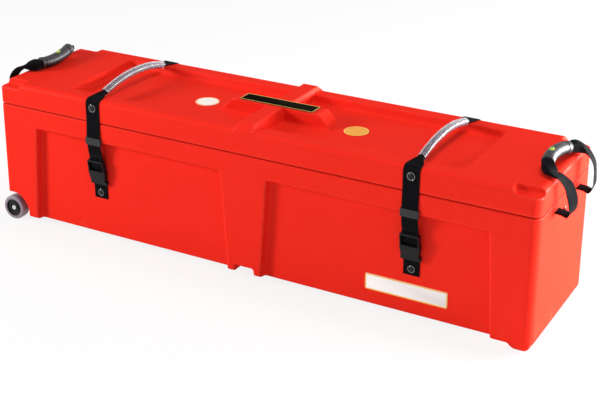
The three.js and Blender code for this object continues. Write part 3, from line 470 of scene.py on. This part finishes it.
# The shell's own form with every edge rounded, as turning the mould leaves it
def mouldedSkin(node):
    skin = link(bpy.data.objects.new(node + "_skin", nodes[node].data.copy()))
    tidyMesh(skin.data, weld["copied"])
    voxels = skin.modifiers.new("voxels", "REMESH")
    voxels.mode = "VOXEL"
    voxels.voxel_size = shell["voxel"]
    voxels.use_smooth_shade = True
    ease = skin.modifiers.new("ease", "SMOOTH")
    ease.factor, ease.iterations = shell["easing"], shell["rounding"]
    settle(skin)
    fewer = skin.modifiers.new("fewer", "DECIMATE")
    fewer.ratio = shell["kept"][node]
    skin.modifiers.new("shade", "WEIGHTED_NORMAL")
    return settle(skin)


for shellNode, shellBody in (("case_base", "base"), ("lid", "lid")):
    skin = mouldedSkin(shellNode)
    finished(skin, shellBody, "redShell", [shellNode])
    print(shellNode, "skin:", len(skin.data.polygons), "faces")


# A rounded run through stations of any number of values
def smoothPath(keys, perSpan):
    keys = [np.array(k, float) for k in keys]
    padded = [2 * keys[0] - keys[1], *keys, 2 * keys[-1] - keys[-2]]
    run = []
    for i in range(1, len(padded) - 2):
        a, b, c, d = padded[i - 1:i + 3]
        for step in range(perSpan):
            t = step / perSpan
            run.append(0.5 * (2 * b + (c - a) * t + (2 * a - 5 * b + 4 * c - d) * t * t
                              + (3 * b - a - 3 * c + d) * t ** 3))
    return run + [keys[-1]]


edgeShares = (-1, -0.96, -0.86, -0.6, -0.3, 0, 0.3, 0.6, 0.86, 0.96, 1)
edgeThickness = (0.35, 0.8, 1.0, 0.94, 0.94, 0.94, 0.94, 0.94, 1.0, 0.8, 0.35)


# A woven strip. Each station: middle (3), across (3), width, thickness, curl in radians over the width.
def webbing(name, stations):
    stations = [np.array(s, float) for s in stations]
    rings, lengths, travelled = [], [], 0.0
    for i, s in enumerate(stations):
        middle, across = Vector(s[0:3]), Vector(s[3:6]).normalized()
        before = Vector(stations[max(i - 1, 0)][0:3])
        after = Vector(stations[min(i + 1, len(stations) - 1)][0:3])
        along = (after - before).normalized()
        across = (across - along * across.dot(along)).normalized()
        off = along.cross(across)
        if i:
            travelled += (middle - before).length
        width, thick, curl = s[6:9]
        top, under = [], []
        for share, thickness in zip(edgeShares, edgeThickness):
            angle = share * curl / 2
            if abs(curl) < 1e-3:
                centre, normal = (share * width / 2, 0.0), (0.0, 1.0)
            else:
                radius = width / curl
                centre = (radius * math.sin(angle), radius * (1 - math.cos(angle)))
                normal = (-math.sin(angle), math.cos(angle))
            half = thick * thickness / 2
            for side, row in ((1, top), (-1, under)):
                row.append(middle + across * (centre[0] + side * normal[0] * half)
                           + off * (centre[1] + side * normal[1] * half))
        rings.append(top + under[::-1])
        lengths.append(travelled)
    count = len(rings[0])
    half = len(edgeShares)
    reach = [s * stations[0][6] / 2 for s in edgeShares]
    place = reach + reach[::-1]
    points = [p for ring in rings for p in ring]
    polygons, uvs = [], []
    for i in range(len(rings) - 1):
        for k in range(count):
            following = (k + 1) % count
            polygons.append((i * count + k, i * count + following, (i + 1) * count + following, (i + 1) * count + k))
            uvs += [(place[k], lengths[i]), (place[following], lengths[i]),
                    (place[following], lengths[i + 1]), (place[k], lengths[i + 1])]
    for ring, order in ((0, 1), (len(rings) - 1, -1)):      # strips of faces close both ends
        for k in range(half - 1):
            corners = [ring * count + c for c in (k, count - 1 - k, count - 2 - k, k + 1)][::order]
            polygons.append(tuple(corners))
            uvs += [(place[c % count], lengths[ring]) for c in corners]
    return meshPiece(name, points, polygons, uvs, sharp=70)


case = {"halfWidth": 0.158, "lidTop": 0.343, "edgeRadius": 0.012, "strapX": 0.383, "panelFloor": 0.140}
band = {"width": 0.036, "thickness": 0.0016, "gap": 0.0003}
# Each gathered station: place from the middle, height, shares of the band's width and thickness, curl
roll = {
    "half": 0.112, "endRise": 0.0045, "rise": 0.021, "coreRadius": 0.0060, "coreShare": 0.95, "lap": 0.0007,
    "sides": 28, "drop": 0.0006,
    "gather": [(0.139, 0.3443, 0.93, 1.1, 0.1), (0.132, 0.3448, 0.78, 1.7, 0.4), (0.125, 0.3456, 0.60, 2.6, 0.8),
               (0.118, 0.3467, 0.43, 4.0, 1.0), (0.112, 0.3475, 0.34, 5.3, 0.8), (0.104, 0.3497, 0.32, 5.3, 0.6)],
}
tubeForm = {"radius": 0.0085, "wall": 0.0016, "sides": 48, "steps": 96}
bandOut = case["halfWidth"] + band["gap"] + band["thickness"] / 2
turnRadius = case["edgeRadius"] + band["gap"] + band["thickness"] / 2


def tubeHeight(share):
    return case["lidTop"] + roll["endRise"] + (roll["rise"] - roll["endRise"]) * (1 - share * share)


# Stations from the band's top, round the lid's edge and gathered to the tube
def overEdge(face, x):
    rows = []
    for share in (0, 0.25, 0.5, 0.75, 1):
        angle = share * math.pi / 2
        rows.append((case["halfWidth"] - case["edgeRadius"] + turnRadius * math.cos(angle),
                     case["lidTop"] - case["edgeRadius"] + turnRadius * math.sin(angle), 1, 1, 0))
    rows += roll["gather"]
    return [(x, face * y + rowShift, z, face, 0, 0, band["width"] * wide, band["thickness"] * thick, curl)
            for y, z, wide, thick, curl in rows]


# The line on which strap and tongue strap lean out, with distances up it and off it at the buckle's window
slant = {
    "foot": (0.1411, 0.1275), "top": (0.1606, 0.2378),
    "window": ((0.04, 0), (0.048, 0), (0.0515, 0.0004), (0.0555, 0.0021), (0.0615, 0.0023), (0.066, 0.001),
               (0.072, 0), (0.09, 0), (0.108, 0)),
}
slantUp = Vector((0, slant["foot"][0] - slant["top"][0], slant["top"][1] - slant["foot"][1])).normalized()
slantOut = east.cross(slantUp)


def onSlant(x, along, off):
    return Vector((x, -slant["foot"][0], slant["foot"][1])) + slantUp * along + slantOut * off


def flatRow(place):
    return (place.x, place.y + rowShift, place.z, -1, 0, 0, band["width"], band["thickness"], 0)


# Heights, distances up the slant, and heights given for a bend; a strap with a bend stays on no body
runs = {
    "strap": {"knee": (0.2395, 0.2545, 0.264), "upright": (0.286, 0.294, 0.302, 0.318), "perSpan": 4,
              "bend": (0.3, 0.288)},
    "back": {"upright": (0.298, 0.302, 0.310, 0.318), "perSpan": 4},
    "hinge": {"laps": ((0.331, 1), (0.318, 1), (0.306, 1), (0.2985, 0.7), (0.2935, 0.15), (0.286, 0), (0.272, 0),
                       (0.255, 0)), "step": 0.0019, "perSpan": 3, "bend": (0.299, 0.281)},
    "tab": {"upright": (0.1025, 0.110, 0.120, 0.126), "leaning": (0.003, 0.008, 0.0175), "perSpan": 4,
            "bend": (0.1235, 0.1315)},
}


# From under the buckle, up the front and over the lid's edge into the tube
def strapStations(x):
    low = [onSlant(x, along, off) for along, off in slant["window"]]
    low += [Vector((x, -slant["top"][0], z)) for z in runs["strap"]["knee"]]
    low += [Vector((x, -bandOut, z)) for z in runs["strap"]["upright"]]
    return [flatRow(p) for p in low] + overEdge(-1, x)


def backStations(x):
    rows = [flatRow(Vector((x, bandOut, z))) for z in runs["back"]["upright"]]
    return rows + [row[:3] + (-1, 0, 0) + row[6:8] + (-row[8],) for row in overEdge(1, x)]


def hingeStations(x):
    return [flatRow(Vector((x, bandOut + runs["hinge"]["step"] * lap, z))) for z, lap in runs["hinge"]["laps"]]


def tabStations(x):
    wall = -case["panelFloor"] - band["gap"] - band["thickness"] / 2
    rows = [flatRow(Vector((x, wall, z))) for z in runs["tab"]["upright"]]
    return rows + [flatRow(onSlant(x, along, 0)) for along in runs["tab"]["leaning"]]


# Webbing rolled up inside the tube, with the lap of its last turn
def rolledCore(name, x):
    shares = np.linspace(-roll["coreShare"], roll["coreShare"], tubeForm["steps"])
    line = [Vector((x, s * roll["half"] + rowShift, tubeHeight(s) - roll["drop"])) for s in shares]
    radii = [roll["coreRadius"] + roll["lap"] * k / roll["sides"] for k in range(roll["sides"])]
    rings = [roundSection(station, radii) for station in framesAlong(line)]
    piece = ringSkin(name, rings, sharp=50)
    layer = piece.data.uv_layers.new(name="cloth")
    turn = 2 * math.pi * roll["coreRadius"]
    for loop in piece.data.loops:
        ring, k = divmod(loop.vertex_index, roll["sides"])
        layer.data[loop.index].uv = (turn * k / roll["sides"], line[min(ring, len(line) - 1)].y)
    return piece


def clearTube(name, x):
    shares = np.linspace(-1, 1, tubeForm["steps"])
    line = [Vector((x, s * roll["half"] + rowShift, tubeHeight(s))) for s in shares]
    stations = framesAlong(line)
    sides = tubeForm["sides"]
    outer = [roundSection(s, [tubeForm["radius"]] * sides) for s in stations]
    inner = [roundSection(s, [tubeForm["radius"] - tubeForm["wall"]] * sides) for s in stations]
    return ringSkin(name, outer + inner[::-1], loop=True, sharp=50)


# A strap that rides on one body, or, where its run gives a bend, rides on none and keeps its placing in its mesh
def placeStrap(name, kind, end, stations, bodies, replaced=()):
    run = runs[kind]
    bend = run.get("bend")
    piece = webbing(f"{name}_{end}", smoothPath(stations, run["perSpan"]))
    finished(piece, None if bend else bodies[0], "blackWebbing", [f"{node}_{end}" for node in replaced])
    if bend:
        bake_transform(piece)


for end, side in ends.items():
    x = side * case["strapX"]
    placeStrap("strap_web", "strap", end, strapStations(x), ("lid", f"strap_{end}"), ("lid_strap", "latch_strap"))
    placeStrap("strap_web_back", "back", end, backStations(x), ("lid",))
    finished(rolledCore(f"tube_core_{end}", x), "lid", "rolledWebbing")
    finished(clearTube(f"clear_tube_{end}", x), "lid", "clearVinyl", [f"strap_grip_{end}"])
    placeStrap("hinge_web", "hinge", end, hingeStations(x), ("lid", "base"), ("hinge_strap",))
    placeStrap("tab_web", "tab", end, tabStations(x), ("base", f"tab_{end}"), ("latch_tab", "tab_anchor"))
print("straps woven and tubes fitted")

# Shares of a head's radius
rivetForm = {"dome": 0.62, "domeHeight": 0.42, "ring": 0.85, "ringWire": 0.065, "flange": 1.0, "flangeHeight": 0.1}
stitchForm = {"thread": 0.00035, "length": 0.0026, "sink": 0.0001}
fineness = {"head": 28, "headRings": 12, "ringWire": 10, "thread": 8, "threadRings": 5}


def newTree(name, numbers, materials):
    tree = bpy.data.node_groups.new(name, "GeometryNodeTree")
    tree.interface.new_socket(name="Geometry", in_out="INPUT", socket_type="NodeSocketGeometry")
    for key, value in numbers.items():
        tree.interface.new_socket(name=key, in_out="INPUT", socket_type="NodeSocketFloat").default_value = value
    for key in materials:
        tree.interface.new_socket(name=key, in_out="INPUT", socket_type="NodeSocketMaterial")
    tree.interface.new_socket(name="Geometry", in_out="OUTPUT", socket_type="NodeSocketGeometry")
    return tree, tree.nodes.new("NodeGroupInput"), tree.nodes.new("NodeGroupOutput")


def coated(tree, shape, material):
    return tuned(tree, "GeometryNodeSetMaterial", Geometry=shape, Material=material).outputs[0]


def stretched(tree, shape, x, y, z):
    scale = tuned(tree, "ShaderNodeCombineXYZ", X=x, Y=y, Z=z)
    return tuned(tree, "GeometryNodeTransform", Geometry=shape, Scale=scale.outputs[0]).outputs[0]


def joined(tree, *shapes):
    join = tree.nodes.new("GeometryNodeJoinGeometry")
    for shape in shapes:
        wire(tree, shape, join.inputs[0])
    return join.outputs[0]


def named(tree, name, kind):
    return tuned(tree, "GeometryNodeInputNamedAttribute", data_type=kind, Name=name).outputs[0]


# Instances of a shape on the points, turned to face out and along, and made plain mesh
def onPoints(tree, points, shape, scale=None, along=False):
    turn = tuned(tree, "FunctionNodeAlignRotationToVector", axis="Z", Vector=named(tree, "facing", "FLOAT_VECTOR"))
    if along:
        turn = tuned(tree, "FunctionNodeAlignRotationToVector", axis="X", pivot_axis="Z", Rotation=turn.outputs[0],
                     Vector=named(tree, "along", "FLOAT_VECTOR"))
    place = tuned(tree, "GeometryNodeInstanceOnPoints", Points=points, Instance=shape, Rotation=turn.outputs[0])
    if scale:
        wire(tree, named(tree, scale, "FLOAT"), place.inputs["Scale"])
    whole = tuned(tree, "GeometryNodeRealizeInstances", Geometry=place.outputs[0])
    return tuned(tree, "GeometryNodeSetShadeSmooth", Geometry=whole.outputs[0]).outputs[0]


# A flange, a raised ring and a low dome, scaled by each point's size
def rivetTree():
    tree, source, result = newTree("rivets", rivetForm, ("Finish", "Ring finish"))
    given, sides = source.outputs, fineness["head"]
    ball = tuned(tree, "GeometryNodeMeshUVSphere", Segments=sides, Rings=fineness["headRings"], Radius=given["dome"])
    dome = stretched(tree, ball.outputs["Mesh"], 1, 1, given["domeHeight"])
    disc = tuned(tree, "GeometryNodeMeshCylinder", Vertices=sides, Radius=given["flange"], Depth=given["flangeHeight"])
    dark = coated(tree, joined(tree, dome, disc.outputs["Mesh"]), given["Finish"])
    loop = tuned(tree, "GeometryNodeCurvePrimitiveCircle", Resolution=sides, Radius=given["ring"])
    section = tuned(tree, "GeometryNodeCurvePrimitiveCircle", Resolution=fineness["ringWire"],
                    Radius=given["ringWire"])
    ring = tuned(tree, "GeometryNodeCurveToMesh", Curve=loop.outputs["Curve"])
    wire(tree, section.outputs["Curve"], ring.inputs["Profile Curve"])
    head = joined(tree, dark, coated(tree, ring.outputs["Mesh"], given["Ring finish"]))
    wire(tree, onPoints(tree, given["Geometry"], head, scale="size"), result.inputs[0])
    return tree


# Short threads lying along the seam that each point is on
def stitchTree():
    tree, source, result = newTree("stitches", stitchForm, ("Finish",))
    given = source.outputs
    thread = tuned(tree, "GeometryNodeMeshUVSphere", Segments=fineness["thread"], Rings=fineness["threadRings"],
                   Radius=given["thread"])
    ratio = summed(tree, "DIVIDE", given["length"], given["thread"])
    longer = stretched(tree, thread.outputs["Mesh"], summed(tree, "MULTIPLY", ratio, 0.5), 1, 1)
    shape = onPoints(tree, given["Geometry"], longer, along=True)
    wire(tree, coated(tree, shape, given["Finish"]), result.inputs[0])
    return tree


def socketKey(tree, name):
    return next(s.identifier for s in tree.interface.items_tree if s.name == name and s.in_out == "INPUT")


# Rows of points with their vectors and numbers, dressed by a tree
def scattered(name, tree, points, vectors, numbers, materials):
    mesh = bpy.data.meshes.new(name)
    mesh.from_pydata([tuple(p) for p in points], [], [])
    for key, rows in vectors.items():
        layer = mesh.attributes.new(key, "FLOAT_VECTOR", "POINT")
        layer.data.foreach_set("vector", np.array([tuple(r) for r in rows], np.float32).ravel())
    for key, rows in numbers.items():
        layer = mesh.attributes.new(key, "FLOAT", "POINT")
        layer.data.foreach_set("value", np.array(rows, np.float32))
    piece = link(bpy.data.objects.new(name, mesh))
    dressing = piece.modifiers.new(tree.name, "NODES")
    dressing.node_group = tree
    for key, finish in materials.items():
        dressing[socketKey(tree, key)] = made[finish]
    return settle(piece)


rivets, stitches = rivetTree(), stitchTree()


# Radius of each kind of head, and how far its flange lies under the node's outermost point
heads = {"lid": (0.0095, 0.0022), "hinge": (0.0095, 0.0022), "tab": (0.0085, 0.0022), "handle": (0.005, 0.0013)}


# Place, direction and radius of the head on a rivet node
def headRow(kind, where, out):
    radius, sink = heads[kind]
    low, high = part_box(f"rivet_{kind}_{where}")
    place = (low + high) / 2
    for axis in range(3):
        if out[axis]:
            place[axis] = high[axis] if out[axis] > 0 else low[axis]
    return place - out * sink, out, radius


def placeRivets(group, body, rows, kinds):
    places, facing, sizes = zip(*rows)
    piece = scattered(f"rivet_heads_{group}", rivets, places, {"facing": facing}, {"size": sizes},
                      {"Finish": "darkNickel", "Ring finish": "paleNickel"})
    finished(piece, body, replaces=[f"rivet_{kind}_{end}" for kind in kinds for end in ends])


lidRows, baseRows, endRows = [], [], []
for end, side in ends.items():
    for face, sign in faces.items():
        lidRows.append(headRow("lid", f"{face}_{end}", north * sign))
        endRows.append(headRow("handle", f"{face}_{end}", east * side))
    baseRows += [headRow("hinge", end, north), headRow("tab", end, -north)]
placeRivets("lid", "lid", lidRows, [f"lid_{face}" for face in faces])
placeRivets("base", "base", baseRows, ("hinge", "tab"))
placeRivets("ends", "base", endRows, [f"handle_{face}" for face in faces])
print("rivets set")

# Cross seams on the straight stretches: distance up the slant, or height on the back
seams = {"strap": (0.0805, 0.0845), "tab": (0.0095, 0.0125), "hinge": (0.2600, 0.2640), "perRow": 9, "spread": 0.031}


def seamRows(places, out):
    points, facing, along = [], [], []
    for place in places:
        for share in np.linspace(-0.5, 0.5, seams["perRow"]):
            points.append(place + east * share * seams["spread"] + out * (band["thickness"] / 2 - stitchForm["sink"]))
            facing.append(out)
            along.append(east)
    return points, facing, along


for end, side in ends.items():
    x = side * case["strapX"]
    shift = Vector((0, rowShift, 0))
    for kind, body, places, out in (
        ("strap", f"strap_{end}", [onSlant(x, a, 0) + shift for a in seams["strap"]], slantOut),
        ("tab", f"tab_{end}", [onSlant(x, a, 0) + shift for a in seams["tab"]], slantOut),
        ("hinge", "base", [Vector((x, bandOut, z)) + shift for z in seams["hinge"]], north),
    ):
        points, facing, along = seamRows(places, out)
        piece = scattered(f"stitches_{kind}_{end}", stitches, points, {"facing": facing, "along": along}, {},
                          {"Finish": "greyKeeper"})
        finished(piece, body)
print("seams stitched")

# Rounding of the edges, body and finish
buckleParts = {
    "strap_keeper": (0.0008, "strap", "greyKeeper"),
    "buckle_receiver": (0.0009, "strap", "greyBuckle"),
    "buckle_tongue": (0.0009, "tab", "greyBuckle"),
}
for end in ends:
    for part, (rounding, body, finish) in buckleParts.items():
        node = f"{part}_{end}"
        finished(softened(node, rounding), f"{body}_{end}", finish, [node])
print("buckles rounded")

# Profiles of (radius, height) from the wheel's outer face inward
wheelForm = {
    "tyre": [(0.0209, -0.0246), (0.0256, -0.0248), (0.0278, -0.0236), (0.0288, -0.0212), (0.029, -0.018),
             (0.029, -0.007), (0.0288, -0.0038), (0.0278, -0.0014), (0.0256, -0.0002), (0.0209, -0.0004)],
    "hub": [(0.0043, -0.0248), (0.0200, -0.0248), (0.0205, -0.0243), (0.0205, -0.0006), (0.0200, -0.0001),
            (0.0190, -0.0001), (0.0186, -0.0008), (0.0180, -0.0038), (0.0136, -0.0042), (0.0132, -0.0022),
            (0.0126, -0.0016), (0.0112, -0.0016), (0.0108, -0.0024), (0.0104, -0.0044), (0.0084, -0.0044),
            (0.0082, -0.0034), (0.0043, -0.0034)],
    "axle": [(0, -0.0002), (0.0034, -0.0002), (0.0052, -0.0008), (0.006, -0.002), (0.006, -0.003),
             (0.004, -0.003), (0.004, -0.0252), (0.008, -0.0252), (0.008, -0.0337), (0.004, -0.0337),
             (0.004, -0.05), (0, -0.05)],
    "centre": (-0.632, 0.029), "sides": 72, "axleSides": 40, "nutEdge": 0.0005,
}
for face, sign in faces.items():
    hubEnd = (wheelForm["centre"][0], sign * case["halfWidth"] + rowShift, wheelForm["centre"][1])
    tyre = lathe(f"tyre_round_{face}", wheelForm["tyre"], hubEnd, (0, sign, 0), wheelForm["sides"])
    finished(tyre, f"wheel_{face}", "greyTyre", [f"tyre_{face}"])
    hub = lathe(f"hub_stepped_{face}", wheelForm["hub"], hubEnd, (0, sign, 0), wheelForm["sides"])
    finished(hub, f"wheel_{face}", "blackHub", [f"wheel_hub_{face}"])
    axle = lathe(f"axle_turned_{face}", wheelForm["axle"], hubEnd, (0, sign, 0), wheelForm["axleSides"])
    finished(axle, "base", "brightSteel", [f"wheel_axle_{face}"])
    finished(softened(f"axle_nut_{face}", wheelForm["nutEdge"]), "base", "darkNickel", [f"axle_nut_{face}"])
print("wheels turned")

# Grip: front end, middle and back end, and the share of it that shows as rubber.
# Legs, from the bend outside the end wall up to the grip: place, turn in degrees, how far gathered.
handles = {
    "right": {
        "grip": [(0.616, -0.046, 0.361), (0.6155, 0.002, 0.3665), (0.6295, 0.060, 0.3585)],
        "rubber": (0.0, 0.9),
        "front": [(0.6755, -0.059, 0.2755, 10, 0), (0.6768, -0.059, 0.287, 20, 0), (0.6752, -0.060, 0.300, 26, 0),
                  (0.6712, -0.062, 0.3155, 24, 0), (0.665, -0.065, 0.331, 18, 0), (0.652, -0.070, 0.3455, 5, 0),
                  (0.640, -0.073, 0.351, 0, 0.35), (0.6285, -0.067, 0.3553, 0, 0.85), (0.619, -0.056, 0.359, 0, 1)],
        "back": [(0.6745, 0.076, 0.2735, 5, 0), (0.677, 0.077, 0.284, 5, 0), (0.6765, 0.078, 0.2955, 6, 0),
                 (0.6755, 0.079, 0.311, 8, 0), (0.6728, 0.079, 0.3256, 8, 0), (0.6667, 0.078, 0.338, 8, 0),
                 (0.6570, 0.077, 0.3485, 5, 0.3), (0.6460, 0.074, 0.3540, 0, 0.75), (0.6370, 0.067, 0.3585, 0, 1)],
    },
    "left": {
        "grip": [(0.615, -0.050, 0.3595), (0.610, 0.000, 0.358), (0.616, 0.060, 0.3655)],
        "rubber": (0.0, 1.0),
        "front": [(0.679, -0.062, 0.277, 5, 0), (0.683, -0.064, 0.293, 5, 0), (0.6822, -0.068, 0.3105, 0, 0),
                  (0.6755, -0.072, 0.3265, -12, 0), (0.6629, -0.075, 0.3406, -22, 0),
                  (0.6501, -0.075, 0.3501, -32, 0.1), (0.6388, -0.072, 0.3548, -20, 0.55),
                  (0.6289, -0.066, 0.356, 0, 0.9), (0.620, -0.058, 0.3575, 0, 1)],
        "back": [(0.677, 0.077, 0.274, 8, 0), (0.681, 0.078, 0.292, 15, 0), (0.677, 0.079, 0.310, 15, 0),
                 (0.667, 0.080, 0.328, 15, 0), (0.654, 0.0815, 0.3425, 10, 0.05), (0.640, 0.080, 0.353, 5, 0.3),
                 (0.627, 0.073, 0.3605, 0, 0.55)],
    },
}
slotY = {"front": -0.059, "back": 0.075}
legForm = {
    "width": 0.028, "thickness": 0.0018, "footThickness": 0.003, "bundleWidth": 0.0235, "bundleThickness": 0.0215,
    "feet": ((0.6388, 0.249), (0.6388, 0.261), (0.6425, 0.2702), (0.65, 0.2702), (0.66, 0.269), (0.669, 0.2662)),
    "fill": 1.5, "reach": 0.002, "inside": 0.005, "ending": 0.75, "perSpan": 5,
    "bendStart": (0.655, 0.262), "bendEnd": (0.672, 0.272),
}
gripForm = {
    "radius": 0.0125, "swell": 0.03, "ribPitch": 0.0050, "ribDepth": 0.0009, "sides": 40, "steps": 100,
    "collar": 0.1, "collarRise": 0.0009, "groove": 0.018, "grooveDepth": 0.0010,
    "endRound": 0.0014, "endShares": (1, 0.35, 0), "tipRun": 0.05,
}
patchForm = {
    "at": {"right": 0.34, "left": 0.60}, "length": 0.0155, "width": 0.0100, "rise": 0.00045, "steps": 14,
    "levels": ((1, -1), (1, 1), (0.7, 1.2), (0.4, 1.3), (0.05, 1.3)),      # shares of its size and of its rise
}
anchorEdge = 0.0006


def bowPoint(keys, share):
    front, middle, back = (Vector(k) for k in keys)
    pull = middle * 2 - (front + back) / 2
    return front * (1 - share) ** 2 + pull * 2 * share * (1 - share) + back * share ** 2


def mirrored(point, side):
    return Vector((side * point[0], point[1] + rowShift, point[2]))


def legStations(end, face):
    side, sign, form = ends[end], faces[face], handles[end]
    low, high = form["rubber"]
    share = low if sign < 0 else high
    tip, near = (mirrored(bowPoint(form["grip"], s), side) for s in (share, share - sign * gripForm["tipRun"]))
    outOfGrip = (tip - near).normalized()
    points = [mirrored(p, side) for p in form[face]]
    rows = [(*mirrored((px, slotY[face], pz), side), 0, -sign, 0, legForm["width"], legForm["footThickness"], 0)
            for px, pz in legForm["feet"]]
    for i, at in enumerate(points):
        run = ((points[i + 1] if i + 1 < len(points) else tip) - points[max(i - 1, 0)]) * -sign
        turn, gather = math.radians(form[face][i][3]), form[face][i][4]
        flat = Vector((side * math.sin(turn), -sign * math.cos(turn), 0))
        level = flat * (1 - gather) + Vector((side * run.y, -side * run.x, 0)).normalized() * gather
        width = legForm["width"] + (legForm["bundleWidth"] - legForm["width"]) * gather
        thick = legForm["thickness"] + (legForm["bundleThickness"] - legForm["thickness"]) * gather ** legForm["fill"]
        rows.append((*at, *level.normalized(), width, thick, 0))
    for reach in (legForm["reach"], -legForm["inside"]):
        rows.append((*(tip + outOfGrip * reach), side, 0, 0, width * legForm["ending"], thick * legForm["ending"], 0))
    return rows


def gripRadius(share, travelled, angle):
    form = gripForm
    edge = min(share, 1 - share)
    if edge < form["collar"]:
        return form["radius"] + form["collarRise"]
    if edge < form["collar"] + form["groove"]:
        return form["radius"] - form["grooveDepth"]
    under = max(0.0, -math.sin(angle)) ** 0.5       # finger ribs only underneath
    return (form["radius"] * (1 + form["swell"] * math.sin(math.pi * share))
            + form["ribDepth"] * under * math.cos(2 * math.pi * travelled / form["ribPitch"]))


def rubberGrip(name, end):
    side, form = ends[end], gripForm
    low, high = handles[end]["rubber"]
    shares = [i / form["steps"] for i in range(form["steps"] + 1)]
    line = [mirrored(bowPoint(handles[end]["grip"], low + (high - low) * s), side) for s in shares]
    stations = framesAlong(line)
    turn = 2 * math.pi / form["sides"]
    rings, travelled = [], 0.0
    for i, (share, station) in enumerate(zip(shares, stations)):
        if i:
            travelled += (line[i] - line[i - 1]).length
        edge = min(i, form["steps"] - i)
        ease = form["endRound"] * form["endShares"][min(edge, 2)]
        rings.append(roundSection(station, [gripRadius(share, travelled, turn * k) - ease
                                            for k in range(form["sides"])]))
    return ringSkin(name, rings, sharp=45), line, stations


# A thin oval on the top of the grip, bent round it
def colourPatch(name, end, line, stations):
    total = sum((b - a).length for a, b in zip(line, line[1:]))
    middle = patchForm["at"][end]
    radius = gripForm["radius"] * (1 + gripForm["swell"] * math.sin(math.pi * middle))
    rings = []
    for size, lift in patchForm["levels"]:
        ring = []
        for k in range(patchForm["steps"] * 2):
            turn = math.pi * k / patchForm["steps"]
            share = middle + math.cos(turn) * size * patchForm["length"] / 2 / total
            place, across, up = stations[round(share * (len(stations) - 1))]
            lean = math.sin(turn) * size * patchForm["width"] / 2 / radius
            ring.append(place + (up * math.cos(lean) + across * math.sin(lean)) * (radius + patchForm["rise"] * lift))
        rings.append(ring)
    return ringSkin(name, rings, sharp=40)


for end, side in ends.items():
    for face in faces:
        leg = webbing(f"handle_web_{face}_{end}", smoothPath(legStations(end, face), legForm["perSpan"]))
        finished(leg, None, "blackWebbing", [f"handle_stub_{face}_{end}"])
        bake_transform(leg)
    grip, gripLine, gripStations = rubberGrip(f"rubber_grip_{end}", end)
    finished(grip, f"handle_{end}", "rubberGrip", [f"handle_grip_{end}", f"handle_strap_{end}"])
    patch = colourPatch(f"grip_patch_{end}", end, gripLine, gripStations)
    finished(patch, f"handle_{end}", "limePatch")
    anchor = f"handle_plate_{end}"
    finished(softened(anchor, anchorEdge), "base", "brightSteel", [anchor])
print("end handles made")

plateForm = {"length": 0.180, "width": 0.038, "corner": 0.0015, "line": 0.0017, "margin": 0.0004}
labelForm = {"length": 0.182, "width": 0.036, "corner": 0.004, "line": 0.0026, "margin": 0.0}
plateEdge = {"round": 0.0002, "leastCorner": 0.0004, "lineSink": 0.0001, "lineRise": 0.00018}
badgeForm = {
    "radius": 0.027, "rim": 0.0030, "edge": 0.0004, "dome": 0.0003, "shoulder": (0.5, 0.6), "sides": 72,
    "rimInset": 1.2, "rimSink": 0.0002, "rimRise": (1, 1.6),
}


def roundedCorners(half, radius, steps=6):
    points = []
    for quarter, (sx, sy) in enumerate(((1, 1), (-1, 1), (-1, -1), (1, -1))):
        for step in range(steps + 1):
            angle = math.pi / 2 * (quarter + step / steps)
            points.append((sx * (half[0] - radius) + radius * math.cos(angle),
                           sy * (half[1] - radius) + radius * math.sin(angle)))
    return points


# A flat plate with rounded corners, and the raised line round its edge
def flatPlate(name, node, form, across, up, finish, lineFinish, body):
    low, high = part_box(node)
    normal = across.cross(up)
    middle = (low + high) / 2
    thick = abs((high - low).dot(normal))
    half = (form["length"] / 2, form["width"] / 2)

    def ringAt(size, radius, lift):
        return [middle + across * a + up * b + normal * lift for a, b in roundedCorners(size, radius)]
    edge, rise = plateEdge["round"], plateEdge["lineRise"]
    slim = (half[0] - edge, half[1] - edge)
    plate = ringSkin(name, [ringAt(slim, form["corner"], -thick / 2), ringAt(half, form["corner"], edge - thick / 2),
                            ringAt(half, form["corner"], thick / 2 - edge), ringAt(slim, form["corner"], thick / 2)],
                     sharp=50)
    finished(plate, body, finish, [node])
    outer = (slim[0] - form["margin"], slim[1] - form["margin"])
    inner = (outer[0] - form["line"], outer[1] - form["line"])
    innerRadius = max(form["corner"] - form["line"], plateEdge["leastCorner"])
    foot, top = thick / 2 - plateEdge["lineSink"], thick / 2 + rise
    border = ringSkin(name + "_line", [
        ringAt(outer, form["corner"], foot), ringAt(outer, form["corner"], top),
        ringAt(inner, innerRadius, top), ringAt(inner, innerRadius, foot)], loop=True, sharp=50)
    finished(border, body, lineFinish)


flatPlate("plate_bare", "name_plate", plateForm, east, north, "blackPlate", "goldLine", "lid")
flatPlate("label_bare", "front_label", labelForm, east, upward, "whiteLabel", "amberRim", "base")
for end, faceFinish, rimFinish, slot in (("left", "whiteBadge", "orangeRim", "badge_white"),
                                         ("right", "amberBadge", "amberRim", "badge_amber")):
    low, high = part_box(f"badge_{end}")
    foot = Vector(((low.x + high.x) / 2, (low.y + high.y) / 2, low.z))
    thick, radius, edge, dome = high.z - low.z, badgeForm["radius"], badgeForm["edge"], badgeForm["dome"]
    out, up = badgeForm["shoulder"]
    disc = lathe(f"badge_disc_{end}", [(0, 0), (radius - edge, 0), (radius, edge), (radius, thick - edge),
                                       (radius - edge, thick), (radius * out, thick + dome * up), (0, thick + dome)],
                 foot, upward, badgeForm["sides"])
    finished(disc, "lid", faceFinish, [f"badge_{end}"])
    inner, outer = radius - badgeForm["rim"], radius - edge * badgeForm["rimInset"]
    sunk = thick - badgeForm["rimSink"]
    outside, inside = (thick + plateEdge["lineRise"] * share for share in badgeForm["rimRise"])
    ring = lathe(f"badge_rim_{end}", [(inner, sunk), (outer, sunk), (outer, outside), (inner, inside)], foot, upward,
                 badgeForm["sides"])
    finished(ring, "lid", rimFinish)
print("plate, badges and label done")
